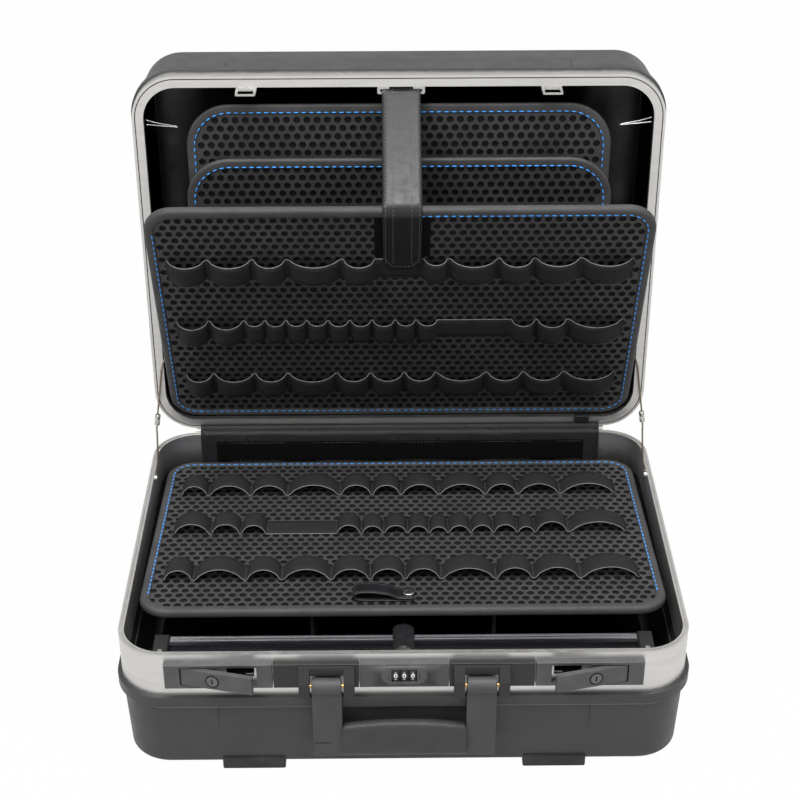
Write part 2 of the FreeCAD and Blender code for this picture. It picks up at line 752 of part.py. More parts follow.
def lever():
    """The left lever: a flat bar that is round about its pin, with a seat for the key barrel."""
    x0 = -LEVER_PIN_X
    x1 = x0 + LEVER_L
    z0 = LEVER_MID_Z - LEVER_H / 2
    bar = box(x0, x1, PLATE_FRONT_Y, PLATE_FRONT_Y + LEVER_T, z0, z0 + LEVER_H)
    tip = [e for e in edges_along(bar, AXIS_Z) if e.BoundBox.XMin > x1 - FIT]
    bar = bar.makeFillet(LEVER_EDGE_R, tip)
    eye = rod(AXIS_Z, LEVER_T / 2, Vector(x0, LEVER_Y, z0), LEVER_H)
    bar = bar.fuse(eye).removeSplitter()
    bore = rod(AXIS_Z, LEVER_PIN_R + SHAFT_FIT, Vector(x0, LEVER_Y, z0 - OVERRUN),
               LEVER_H + 2 * OVERRUN)
    barrel = rod(AXIS_Y, KEY_R + SHAFT_FIT, Vector(x0 + KEY_FROM_PIN, PLATE_FRONT_Y - OVERRUN,
                                                   LEVER_MID_Z), KEY_DEPTH + OVERRUN)
    return swing(bar.cut(bore).cut(barrel))


def key_barrel():
    """The left lever's lock barrel, with its key slot."""
    x = KEY_FROM_PIN - LEVER_PIN_X
    front = PLATE_FRONT_Y - KEY_PROUD
    barrel = rod(AXIS_Y, KEY_R, Vector(x, front, LEVER_MID_Z), KEY_DEPTH + KEY_PROUD - SHAFT_FIT)
    barrel = barrel.makeFillet(KEY_PROUD * HEAD_ROUND_SHARE, edges_facing(barrel, front))
    slot = box(x - KEY_SLOT_W / 2, x + KEY_SLOT_W / 2, front - OVERRUN, front + KEY_SLOT_DEPTH,
               LEVER_MID_Z - KEY_SLOT_L / 2, LEVER_MID_Z + KEY_SLOT_L / 2)
    return swing(barrel.cut(slot))


def hook():
    """The steel hook on the left lever's back: a seat and a nose that enters the keeper."""
    back = PLATE_FRONT_Y + LEVER_T
    top = RIM_Z - HOOK_TOP
    seat = box(-HOOK_X - HOOK_W / 2, -HOOK_X + HOOK_W / 2, back, back + HOOK_SEAT_T,
               top - HOOK_SEAT_H, top)
    nose = box(-HOOK_X - HOOK_W / 2, -HOOK_X + HOOK_W / 2, back, back + HOOK_REACH,
               top - HOOK_H, top)
    nose = nose.makeChamfer(HOOK_H * HOOK_NOSE_SHARE, edges_at(nose, top)[:1])
    return swing(seat.fuse(nose).removeSplitter())


def keeper():
    """The left keeper: a steel strip on the lid frame's inner leg, with a window for the hook."""
    x0 = -HOOK_X - KEEPER_W / 2
    x1 = -HOOK_X + KEEPER_W / 2
    y0 = KEEPER_Y
    strip = box(x0, x1, y0, y0 + KEEPER_T, LID_Z - KEEPER_DROP, LID_Z + LID_INNER_LEG_H)
    strip = strip.makeFillet(KEEPER_T, [e for e in edges_along(strip, AXIS_Y)
                                        if e.BoundBox.ZMax < LID_Z])
    top = RIM_Z - KEEPER_HOLE_TOP
    window = box(-HOOK_X - KEEPER_HOLE_W / 2, -HOOK_X + KEEPER_HOLE_W / 2, y0 - OVERRUN,
                 y0 + KEEPER_T + OVERRUN, top - KEEPER_HOLE_H, top)
    return opened(strip.cut(window))


def handle_pin(play):
    """The left pin of the handle, from leg to leg of its bracket."""
    start = -HANDLE_X - BRACKET_W / 2 + HANDLE_PIN_IN
    length = BRACKET_W - 2 * HANDLE_PIN_IN
    return rod(AXIS_X, HANDLE_PIN_R + play, Vector(start, PIVOT_Y, PIVOT_Z), length)


def handle_bracket():
    """The left bracket: a plate with a raised bar and two sloped legs that carry the pin."""
    inner = CENTRE_PLATE_HALF_W + PLATE_GAP / 2
    plate = front_plate(-inner - BRACKET_PLATE_W + PLATE_GAP, -inner)
    x0 = -HANDLE_X - BRACKET_W / 2
    x1 = x0 + BRACKET_W
    face = PLATE_FRONT_Y
    top = RIM_Z - BRACKET_TOP
    bar = box(x0, x1, face - BRACKET_BAR_OUT, face, top - BRACKET_BAR_H, top)
    leg = [(face, top), (face - BRACKET_BAR_OUT, top),
           (face - BRACKET_LEG_OUT, RIM_Z - BRACKET_KNEE),
           (face - BRACKET_LEG_OUT, RIM_Z - BRACKET_BOTTOM),
           (face, RIM_Z - BRACKET_BOTTOM)]
    legs = [side_profile(leg, x0, x0 + BRACKET_LEG_W), side_profile(leg, x1 - BRACKET_LEG_W, x1)]
    well = box(x0 + BRACKET_LEG_W, x1 - BRACKET_LEG_W, face - BRACKET_LEG_OUT - OVERRUN,
               FRAME_FRONT_Y + OVERRUN, RIM_Z - PLATE_TOP - PLATE_H - OVERRUN,
               top - BRACKET_BAR_H)
    body = plate.fuse([bar] + legs).cut(well).cut(handle_pin(SHAFT_FIT / 2))
    return body.removeSplitter()


def handle_frame():
    """The handle's arms, their knuckles and the low crossbar, hanging from the two pins."""
    low = PIVOT_Z - HANDLE_REACH
    y0 = PIVOT_Y - ARM_T / 2
    y1 = PIVOT_Y + ARM_T / 2
    half = HANDLE_X + ARM_W / 2
    plate = box(-half, half, y0, y1, low, PIVOT_Z)
    gap = HANDLE_X - ARM_W / 2
    plate = plate.cut(box(-gap, gap, y0 - OVERRUN, y1 + OVERRUN, low + CROSSBAR_H,
                          PIVOT_Z + OVERRUN))
    outer = [e for e in edges_along(plate, AXIS_X) if e.BoundBox.ZMax < low + FIT]
    plate = plate.makeFillet(HANDLE_EDGE_R, outer)
    barrels = []
    for x in (-HANDLE_X, HANDLE_X):
        barrel = rod(AXIS_X, KNUCKLE_HANDLE_R, Vector(x - ARM_W / 2, PIVOT_Y, PIVOT_Z), ARM_W)
        barrels.append(barrel.makeFillet(HANDLE_EDGE_R, [barrel.Edges[0], barrel.Edges[2]]))
    frame = plate.fuse(barrels)
    for x in (-HANDLE_X, HANDLE_X):
        frame = frame.cut(rod(AXIS_X, HANDLE_PIN_R + SHAFT_FIT,
                              Vector(x - ARM_W, PIVOT_Y, PIVOT_Z), 2 * ARM_W))
    slit = box(-half - OVERRUN, ARM_SLIT_W - half, y0 - OVERRUN, y0 + OVERRUN,
               low + ARM_SLIT_UP, low + ARM_SLIT_UP + ARM_SLIT_H)
    return frame.cut(slit).removeSplitter()


def handle_grip():
    """The soft grip between the arms, thicker than they are and crowned along its top."""
    low = PIVOT_Z - HANDLE_REACH + CROSSBAR_H
    half = HANDLE_X - ARM_W / 2
    y = PIVOT_Y + ARM_T / 2 - GRIP_T
    side = low + GRIP_H - GRIP_CROWN
    corners = [Vector(-half, y, low), Vector(half, y, low), Vector(half, y, side)]
    edges = [Part.makeLine(corners[0], corners[1]), Part.makeLine(corners[1], corners[2]),
             Part.Arc(corners[2], Vector(0, y, low + GRIP_H), Vector(-half, y, side)).toShape(),
             Part.makeLine(Vector(-half, y, side), corners[0])]
    grip = Part.Face(Part.Wire(edges)).extrude(Vector(0, GRIP_T, 0))
    top = [e for e in grip.Edges if e.Curve.TypeId != "Part::GeomLine"]
    return grip.makeFillet(GRIP_T * GRIP_ROUND_SHARE, top)


def lock_plate():
    """The middle plate: its bezel, the dials' windows and the round housing behind them."""
    plate = front_plate(-CENTRE_PLATE_HALF_W + PLATE_GAP / 2, CENTRE_PLATE_HALF_W - PLATE_GAP / 2)
    bezel = rounded_bar(BEZEL_W, BEZEL_H, PLATE_FRONT_Y - BEZEL_PROUD, BEZEL_PROUD + OVERRUN)
    rim = edges_facing(bezel, PLATE_FRONT_Y - BEZEL_PROUD)
    bezel = bezel.makeFillet(BEZEL_PROUD * BEZEL_ROUND_SHARE, rim)
    reach = DIAL_R + HOUSING_WALL + FIT
    housing = box(-HOUSING_HALF_W, HOUSING_HALF_W, FRAME_FRONT_Y, DIAL_Y, DIAL_Z - reach,
                  DIAL_Z + reach)
    back = rod(AXIS_X, reach, Vector(-HOUSING_HALF_W, DIAL_Y, DIAL_Z), 2 * HOUSING_HALF_W)
    body = plate.fuse([bezel, housing, back])
    inside = HOUSING_HALF_W - HOUSING_WALL
    cavity = rod(AXIS_X, DIAL_R + FIT, Vector(-inside, DIAL_Y, DIAL_Z), 2 * inside)
    front = box(-inside, inside, PLATE_FRONT_Y + WINDOW_WALL_T, DIAL_Y,
                DIAL_Z - DIAL_WINDOW_H / 2, DIAL_Z + DIAL_WINDOW_H / 2)
    keep = box(-inside, inside, PLATE_FRONT_Y + WINDOW_WALL_T, CASE_D, 0, 2 * RIM_Z)
    windows = []
    for x in (-DIAL_PITCH, 0, DIAL_PITCH):
        windows.append(box(x - DIAL_WINDOW_W / 2 - 2 * FIT, x + DIAL_WINDOW_W / 2 + 2 * FIT,
                           PLATE_FRONT_Y - BEZEL_PROUD - OVERRUN, DIAL_Y,
                           DIAL_Z - DIAL_WINDOW_H / 2, DIAL_Z + DIAL_WINDOW_H / 2))
    body = body.cut([cavity.common(keep), front] + windows)
    return body.cut(dial_axle(SHAFT_FIT / 2)).removeSplitter()


def rounded_bar(width, height, y, depth):
    """A flat block with half-round ends, centred on the dials."""
    radius = height / 2
    middle = box(radius - width / 2, width / 2 - radius, y, y + depth, DIAL_Z - radius,
                 DIAL_Z + radius)
    ends = [rod(AXIS_Y, radius, Vector(side * (width / 2 - radius), y, DIAL_Z), depth)
            for side in (-1, 1)]
    return middle.fuse(ends).removeSplitter()


def dial_axle(play):
    """The pin that the three dials turn on."""
    half = HOUSING_HALF_W - AXLE_END_IN
    return rod(AXIS_X, DIAL_AXLE_R + play, Vector(-half, DIAL_Y, DIAL_Z), 2 * half)


def dial(x):
    """One dial, with shallow grooves between the places of its digits."""
    wheel = rod(AXIS_X, DIAL_R, Vector(x - DIAL_W / 2, DIAL_Y, DIAL_Z), DIAL_W)
    wheel = wheel.makeChamfer(DIAL_RIM_CUT, [wheel.Edges[0], wheel.Edges[2]])
    cuts = [rod(AXIS_X, DIAL_AXLE_R + SHAFT_FIT, Vector(x - DIAL_W, DIAL_Y, DIAL_Z), 2 * DIAL_W)]
    for index in range(DIGITS):
        groove = rod(AXIS_X, DIAL_RIM_CUT, Vector(x - DIAL_W, DIAL_Y, DIAL_Z + DIAL_R), 2 * DIAL_W)
        groove.rotate(Vector(0, DIAL_Y, DIAL_Z), AXIS_X, 360 * (index + 0.5) / DIGITS + 90)
        cuts.append(groove)
    return wheel.cut(cuts)


def upright_board(width, height, thickness, core, corner, binding):
    """A board that stands on z = 0 and faces -Y: a thin core in a thicker, rounded binding."""
    wire = rounded_wire(-width / 2, width / 2, 0, height, corner, 0)
    board = Part.Face(wire).extrude(Vector(0, 0, thickness))
    outer = edges_at(board, 0) + edges_at(board, thickness)
    board = board.makeFillet(thickness * BOARD_EDGE_SHARE, outer)
    if core < thickness:
        field = rounded_wire(binding - width / 2, width / 2 - binding, binding, height - binding,
                             corner - binding, 0)
        step = (thickness - core) / 2
        board = board.cut(Part.Face(field).extrude(Vector(0, 0, step)))
        upper = Part.Face(field).extrude(Vector(0, 0, step))
        upper.translate(Vector(0, 0, thickness - step))
        board = board.cut(upper)
    board.rotate(ORIGIN, AXIS_X, 90)
    board.translate(Vector(0, thickness, 0))
    return board


def loop_row(shares, flat, width, top, face):
    """A row of elastic arches on a board that faces -Y, sewn down between them."""
    arches = []
    for left, right in zip(shares, shares[1:]):
        x0 = left * width / 2 + LOOP_GAP / 2
        x1 = right * width / 2 - LOOP_GAP / 2
        if left == flat:
            arches.append(box(x0, x1, face - LOOP_T, face, top - LOOP_BAND, top))
            continue
        rise = min(LOOP_RISE, LOOP_RISE_SHARE * (x1 - x0))
        middle = (x0 + x1) / 2
        outer = Part.Arc(Vector(x0, face, 0), Vector(middle, face - rise, 0), Vector(x1, face, 0))
        inner = Part.Arc(Vector(x0 + LOOP_T, face, 0), Vector(middle, face - rise + LOOP_T, 0),
                         Vector(x1 - LOOP_T, face, 0))
        feet_of = [Part.makeLine(Vector(x0, face, 0), Vector(x0 + LOOP_T, face, 0)),
                   Part.makeLine(Vector(x1 - LOOP_T, face, 0), Vector(x1, face, 0))]
        wire = Part.Wire(Part.__sortEdges__([outer.toShape(), inner.toShape()] + feet_of))
        arch = Part.Face(wire).extrude(Vector(0, 0, LOOP_BAND))
        arch.translate(Vector(0, 0, top - LOOP_BAND))
        arches.append(arch)
    return arches


def leaned(shape, thickness, pivot_u, pivot_v, lean):
    """A lid board's piece, set on its pivot and leaned towards the front."""
    y, z = lid_place(pivot_u, pivot_v)
    turned = shape.copy()
    turned.translate(Vector(0, y - thickness / 2, z - thickness / 2))
    turned.rotate(Vector(0, y, z), AXIS_X, lean)
    return turned


def lid_board_piece(shape):
    """A piece of the lid's front board."""
    return leaned(shape, BOARD_T, FRONT_PIVOT_U, FRONT_PIVOT_V, LID_BOARD_LEAN_DEG)


def base_board_piece(shape):
    """A piece of the base board, laid down with its face up and its front edge raised."""
    turned = shape.copy()
    turned.rotate(ORIGIN, AXIS_X, -90 - BASE_BOARD_TILT_DEG)
    tilt = math.radians(BASE_BOARD_TILT_DEG)
    y = -BASE_BOARD_REAR_IN - BASE_BOARD_H * math.cos(tilt)
    z = RIM_Z - BASE_BOARD_REAR_DROP + BASE_BOARD_H * math.sin(tilt)
    turned.translate(Vector(0, y, z))
    return turned


def core_face(thickness, core):
    """How far a board's sunk field lies behind its binding's face."""
    return (thickness - core) / 2


def strap():
    """The strap: from the lid frame's inner leg, over the board's top edge and down its face."""
    half = STRAP_T / 2
    stand = half + STRAP_CLEAR
    top_y, top_z = lid_place(CASE_D - LID_INNER + HINGE_Y - stand, LEG_T + half)
    lean = math.radians(LID_BOARD_LEAN_DEG)
    py, pz = lid_place(FRONT_PIVOT_U, FRONT_PIVOT_V)
    along = LID_BOARD_H - BOARD_T / 2 + stand
    out = BOARD_T / 2 + stand
    knee = (py - along * math.sin(lean) - out * math.cos(lean),
            pz + along * math.cos(lean) - out * math.sin(lean))
    end = (knee[0] + STRAP_LAP * math.sin(lean), knee[1] - STRAP_LAP * math.cos(lean))
    body = band([(top_y, top_z), knee, end], STRAP_T, STRAP_BEND_R,
                STRAP_X - STRAP_W / 2, STRAP_X + STRAP_W / 2)
    low = body.BoundBox.ZMin
    corner = [e for e in body.Edges if e.BoundBox.ZMax < low + STRAP_T + FIT
              and e.BoundBox.XMax - e.BoundBox.XMin < FIT]
    body = body.makeFillet(STRAP_W * STRAP_TIP_SHARE, corner)
    return body.cut([opened(clip_block(x, FIT)) for x in clip_places()])


def clip_places():
    """The middles of the two clips beside the strap."""
    return STRAP_X - CLIP_X, STRAP_X + CLIP_X


def clip_block(x, play):
    """The space of a clip on the closed lid."""
    reach = CLIP_REACH + play
    return box(x - CLIP_W / 2 - play, x + CLIP_W / 2 + play, KEEPER_Y, KEEPER_Y + reach,
               LID_Z - CLIP_T - 2 * play, LID_Z + 2 * CLIP_T + 2 * play)


def strap_clips():
    """Two slotted lugs on the lid frame's inner edge, beside the strap."""
    clips = []
    for x in clip_places():
        y1 = KEEPER_Y + CLIP_REACH
        lug = box(x - CLIP_W / 2, x + CLIP_W / 2, KEEPER_Y, y1, LID_Z, LID_Z + CLIP_T)
        slot_y = KEEPER_Y + CLIP_REACH / 2
        slot = box(x - CLIP_SLOT_W / 2, x + CLIP_SLOT_W / 2, slot_y - CLIP_SLOT_H / 2,
                   slot_y + CLIP_SLOT_H / 2, LID_Z - OVERRUN, LID_Z + CLIP_T + OVERRUN)
        corners = [e for e in edges_along(lug, AXIS_Z) if e.BoundBox.YMin > y1 - FIT]
        clips.append(opened(lug.makeFillet(CLIP_T, corners).cut(slot)))
    return clips


def pull_loop():
    """The leather pull: a strip laid along the board, turned back over itself to its rivet."""
    sunk = core_face(BOARD_T, BOARD_CORE_T)
    start = PULL_FROM_FRONT
    half = PULL_T / 2
    low = sunk - half
    over = low - PULL_T - FIT
    left = PULL_X - PULL_L
    points = [(PULL_X, low), (left, low), (left, low - PULL_RISE),
              (left + PULL_L * PULL_LIFT_SHARE, low - PULL_RISE),
              (PULL_X - 2 * PULL_RIVET_R - PULL_T, over), (PULL_X, over)]
    edges = rounded_path([Vector(x, y, start) for x, y in points], PULL_BEND_R)
    side = Vector(0, half, 0)
    first = Vector(PULL_X, low, start)
    corners = [first - side, first + side, first + side + Vector(0, 0, PULL_W),
               first - side + Vector(0, 0, PULL_W)]
    section = Part.makePolygon(corners + corners[:1])
    return base_board_piece(edges.makePipeShell([section], True, False))


def pull_rivet():
    """The rivet through the pull's two ends."""
    sunk = core_face(BOARD_T, BOARD_CORE_T)
    y = sunk - 2 * PULL_T - FIT - PULL_RIVET_H
    z = PULL_FROM_FRONT + PULL_W / 2
    head = rod(AXIS_Y, PULL_RIVET_R, Vector(PULL_X - PULL_RIVET_R, y, z), PULL_RIVET_H)
    return base_board_piece(head.makeFillet(PULL_RIVET_H * HEAD_ROUND_SHARE,
                                             edges_facing(head, y)))


def front_rail():
    """The ribbed aluminium rail across the front of the base, with a groove along its middle."""
    y0 = RAIL_BACK_IN - CASE_D - RAIL_W
    top = RIM_Z - RAIL_DROP
    rail = box(-RAIL_HALF_L, RAIL_HALF_L, y0, y0 + RAIL_W, top - RAIL_H, top)
    middle = y0 + RAIL_W / 2
    cuts = [box(-RAIL_HALF_L, RAIL_HALF_L, middle - RAIL_GROOVE_W / 2, middle + RAIL_GROOVE_W / 2,
                top - RAIL_GROOVE_DEPTH, top + OVERRUN)]
    flange = (RAIL_W - RAIL_GROOVE_W) / 2
    for start in (y0, middle + RAIL_GROOVE_W / 2):
        for index in range(RAIL_RIBS):
            y = start + flange * (index + 0.5) / RAIL_RIBS
            cuts.append(box(-RAIL_HALF_L, RAIL_HALF_L, y - RAIL_RIB_W / 2, y + RAIL_RIB_W / 2,
                            top - RAIL_RIB_DEPTH, top + OVERRUN))
    return rail.cut(cuts)


def rail_holders():
    """The black ends that carry the front rail on the side walls."""
    y0 = RAIL_BACK_IN - CASE_D - RAIL_W
    top = RIM_Z - RAIL_DROP + HOLDER_RISE
    block = box(-RAIL_HALF_L - HOLDER_W, -RAIL_HALF_L, y0, y0 + RAIL_W,
                top - RAIL_H - 2 * HOLDER_RISE, top)
    block = block.makeFillet(HOLDER_RISE, edges_along(block, AXIS_Y))
    return [block, mirrored(block)]


def holder_screws():
    """A domed screw on each rail end."""
    y = RAIL_BACK_IN - CASE_D - RAIL_W * HOLDER_SCREW_SHARE
    top = RIM_Z - RAIL_DROP + HOLDER_RISE
    head = rod(AXIS_Z, RIVET_R, Vector(-RAIL_HALF_L - HOLDER_W / 2, y, top), RIVET_H)
    head = head.makeFillet(RIVET_H * HEAD_ROUND_SHARE, edges_at(head, top + RIVET_H))
    return [head, mirrored(head)]


def rail_tab():
    """The tab over the rail, which buttons the board's front edge down."""
    y0 = RAIL_BACK_IN - CASE_D - RAIL_W
    top = RIM_Z - RAIL_DROP
    tab = box(-TAB_W / 2, TAB_W / 2, y0 + FIT, y0 + RAIL_W + TAB_REACH, top, top + TAB_T)
    rear = [e for e in edges_along(tab, AXIS_Z) if e.BoundBox.YMin > y0 + RAIL_W]
    return tab.makeFillet(TAB_W * TAB_ROUND_SHARE, rear)


def rail_snap():
    """The snap button on the tab."""
    y = RAIL_BACK_IN - CASE_D - RAIL_W + SNAP_FROM_FRONT
    z = RIM_Z - RAIL_DROP + TAB_T
    head = rod(AXIS_Z, SNAP_R, Vector(0, y, z), SNAP_H)
    return head.makeFillet(SNAP_H * HEAD_ROUND_SHARE, edges_at(head, z + SNAP_H))


def floor_z():
    """The base's inner floor."""
    return FOOT_H + FLOOR_T


def front_panel():
    """The upright panel under the front rail."""
    middle = RAIL_BACK_IN - CASE_D - RAIL_W / 2
    half = RAIL_HALF_L
    top = RIM_Z - RAIL_DROP - RAIL_H
    return box(-half, half, middle - PANEL_T / 2, middle + PANEL_T / 2, floor_z() + MAT_T, top)


def board_underside(y):
    """The height of the base board's underside at a depth."""
    tilt = math.radians(BASE_BOARD_TILT_DEG)
    rise = (-BASE_BOARD_REAR_IN - y) * math.tan(tilt)
    return RIM_Z - BASE_BOARD_REAR_DROP - BOARD_T / math.cos(tilt) + rise


def cross_dividers():
    """Two upright panels that part the space under the board and carry it."""
    front = RAIL_BACK_IN - CASE_D - RAIL_W / 2 + PANEL_T / 2
    step = DIVIDER_STEP_IN - CASE_D
    rear = -DIVIDER_REAR_GAP
    low = floor_z() + MAT_T
    profile = [(front, low), (front, low + DIVIDER_H), (step, low + DIVIDER_H),
               (step, board_underside(step) - FIT), (rear, board_underside(rear) - FIT),
               (rear, low)]
    x = -DIVIDER_X - PANEL_T / 2
    panel = side_profile(profile, x, x + PANEL_T)
    return [panel, mirrored(panel)]


def board_ledge():
    """The angle on the rear wall, under the board's rear edge."""
    top = board_underside(-BASE_BOARD_REAR_IN) - LEDGE_GAP
    inner = -BASE_INNER - COVER_STAND - COVER_T - 2 * LEDGE_GAP
    shoulder = RIM_Z - COVER_DROP - 2 * LEDGE_GAP
    wall = -WALL_IN - LEDGE_WALL_GAP
    low = shoulder - LEDGE_H
    profile = [(-LEDGE_REACH, top), (inner, top), (inner, shoulder), (wall, shoulder),
               (wall, low), (wall - LEDGE_T, low), (-LEDGE_REACH, top - LEDGE_T)]
    return side_profile(profile, -LEDGE_HALF_L, LEDGE_HALF_L)


def floor_mat():
    """The mat on the base's floor."""
    inset = WALL_IN + CAVITY_DRAFT + CAVITY_R + MAT_PLAY
    return slab(inset, floor_z(), floor_z() + MAT_T)


def hinge_cover():
    """The leather cloth over the hinge gap, from the lid frame's face down the base's rear wall."""
    y_lid = HINGE_Y + LID_GAP - COVER_STAND - COVER_T / 2
    y_base = -BASE_INNER - COVER_STAND - COVER_T / 2
    top = RIM_Z + COVER_TOP
    points = [(y_lid, top), (y_lid, top - COVER_LID_RUN), (y_base, top - COVER_BEND_RUN),
              (y_base, RIM_Z - COVER_DROP)]
    return band(points, COVER_T, COVER_BEND_R, -COVER_HALF_W, COVER_HALF_W)


def hook_loop_strip():
    """The hook-and-loop strip sewn on the cover inside the base."""
    y1 = -BASE_INNER - COVER_STAND - COVER_T
    top = RIM_Z - STRIP_TOP
    return box(-STRIP_HALF_W, STRIP_HALF_W, y1 - STRIP_T, y1, top - STRIP_H, top)


def stay_points():
    """The left stay's run: from the base's screw, over the rim, and up into the lid."""
    x = BASE_INNER + STAY_WALL_GAP - CASE_W / 2
    z = RIM_Z - STAY_SCREW_DROP + STAY_SCREW_R + STAY_R
    lid_wall = LID_INNER - CASE_W / 2
    turn_y = HINGE_Y + STAY_TURN_IN
    turn_z = RIM_Z + STAY_TURN_RISE
    return [Vector(x, -STAY_SCREW_IN, z),
            Vector(x, STAY_LIFT_RUN - STAY_SCREW_IN, RIM_Z + STAY_LIFT),
            Vector(-STAY_KNEE_X, -STAY_KNEE_Y, RIM_Z + STAY_KNEE_RISE),
            Vector(-STAY_TOP_X, HINGE_Y - STAY_TOP_OUT, RIM_Z + STAY_TOP_RISE),
            Vector(-STAY_TURN_X, turn_y, turn_z),
            Vector(lid_wall, turn_y, turn_z)]


def lid_stay():
    """The left stay: its cord and the ferrule crimped on it above the rim."""
    points = stay_points()
    cord = tube(points, STAY_R, STAY_BENDS)
    _, _, foot = arc_points(points[1], points[2], points[3], STAY_BENDS[1])
    run = (points[3] - points[2]).normalize()
    ferrule = rod(run, FERRULE_R, foot, FERRULE_L)
    bore = rod(run, STAY_R + SHAFT_FIT, foot - run * OVERRUN, FERRULE_L + 2 * OVERRUN)
    return [cord, ferrule.cut(bore)]


def stay_screw():
    """The left screw that holds the stay on the base frame."""
    inner = BASE_INNER - CASE_W / 2
    head = rod(AXIS_X, STAY_SCREW_R, Vector(inner, -STAY_SCREW_IN, RIM_Z - STAY_SCREW_DROP),
               STAY_SCREW_H)
    rim = [e for e in head.Edges if e.BoundBox.XMin > inner + STAY_SCREW_H - FIT]
    return head.makeFillet(STAY_SCREW_H * STAY_HEAD_SHARE, rim)


def lid_rail():
    """The stepped rail on the lid's rear wall, on which the three boards pivot."""
    front = FRONT_PIVOT_U - BOARD_T / 2 - BOARD_PLAY
    back = BACK_PIVOT_U - BACK_BOARD_T / 2 - BOARD_PLAY
    step = (FRONT_PIVOT_V + BOARD_T / 2 + MIDDLE_PIVOT_V - BACK_BOARD_T / 2) / 2
    y0 = HINGE_Y
    rear = y0 - LID_RAIL_BACK
    low = box(-LID_RAIL_HALF_L, LID_RAIL_HALF_L, y0 - front, rear, LID_Z + LID_RAIL_START,
              LID_Z + step)
    high = box(-LID_RAIL_HALF_L, LID_RAIL_HALF_L, y0 - back, rear, LID_Z + step,
               LID_Z + LID_RAIL_END)
    return opened(low.fuse(high).removeSplitter())


def clip_knob():
    """The block that holds the board's lower corner."""
    y = HINGE_Y - CLIP_KNOB_U
    low = LID_Z - CLIP_KNOB_H
    knob = box(CLIP_KNOB_X - CLIP_KNOB_W / 2, CLIP_KNOB_X + CLIP_KNOB_W / 2,
               y - CLIP_KNOB_L / 2, y + CLIP_KNOB_L / 2, low, LID_Z)
    knob = knob.makeFillet(CLIP_KNOB_EDGE_R, edges_along(knob, AXIS_Z) + edges_at(knob, low))
    return opened(knob)


def lid_pieces():
    """Every piece that turns with the lid, and the boards on it."""
    keeper_left = keeper()
    pieces = {
        "lid_shell": [lid_shell()],
        "lid_frame": [lid_frame()],
        "lid_seal": [opened(seal_block(SEAL_FIT))],
        "lid_keepers": [keeper_left, mirrored(keeper_left)],
        "strap_clips": strap_clips(),
        "hinge_lid_leaf": [opened(hinge_leaf(1, True))],
        "hinge_lid_rivets": [opened(head) for head in leaf_rivets(RIM_Z + LID_LEAF_H * LID_RIVET_SHARE)],
        "board_rail": [lid_rail()],
        "board_clip_knob": [clip_knob()],
        "name_plate": [name_plate()],
    }
    board = upright_board(LID_BOARD_W, LID_BOARD_H, BOARD_T, BOARD_CORE_T, BOARD_R, BINDING_W)
    pieces["lid_front_board"] = [lid_board_piece(board)]
    face = core_face(BOARD_T, BOARD_CORE_T)
    rows = (("top", LID_TOP_SHARES, STRAP_FLAT_SHARE), ("middle", LID_MIDDLE_SHARES, LID_FLAT_SHARE),
            ("bottom", LID_BOTTOM_SHARES, None))
    for (row, shares, flat), top in zip(rows, LID_ROW_TOPS):
        arches = loop_row(shares, flat, LID_BOARD_W - 2 * BINDING_W, top, face)
        pieces["lid_loops_" + row] = [lid_board_piece(arch) for arch in arches]
    middle = upright_board(BACK_BOARD_W, MIDDLE_BOARD_H, BACK_BOARD_T, BACK_BOARD_T,
                           BACK_BOARD_R, BINDING_W)
    pieces["lid_middle_board"] = [leaned(middle, BACK_BOARD_T, BACK_PIVOT_U, MIDDLE_PIVOT_V,
                                         MIDDLE_LEAN_DEG)]
    rear = upright_board(BACK_BOARD_W, REAR_BOARD_H, BACK_BOARD_T, BACK_BOARD_T, BACK_BOARD_R,
                         BINDING_W)
    pieces["lid_rear_board"] = [leaned(rear, BACK_BOARD_T, BACK_PIVOT_U, REAR_PIVOT_V,
                                       REAR_LEAN_DEG)]
    pieces["lid_strap"] = [strap()]
    return pieces


def base_board_pieces():
    """The board that lies in the base, and what is sewn on it."""
    board = upright_board(BASE_BOARD_W, BASE_BOARD_H, BOARD_T, BOARD_CORE_T, BOARD_R, BINDING_W)
    pieces = {
        "base_board": [base_board_piece(board)],
        "pull_loop": [pull_loop()],
        "pull_rivet": [pull_rivet()],
    }
    face = core_face(BOARD_T, BOARD_CORE_T)
    rows = (("front", BASE_FRONT_SHARES, None), ("middle", BASE_MIDDLE_SHARES, BASE_FLAT_SHARE),
            ("rear", BASE_REAR_SHARES, None))
    for (row, shares, flat), top in zip(rows, BASE_ROW_TOPS):
        arches = loop_row(shares, flat, BASE_BOARD_W - 2 * BINDING_W, top, face)
        pieces["base_loops_" + row] = [base_board_piece(arch) for arch in arches]
    return pieces


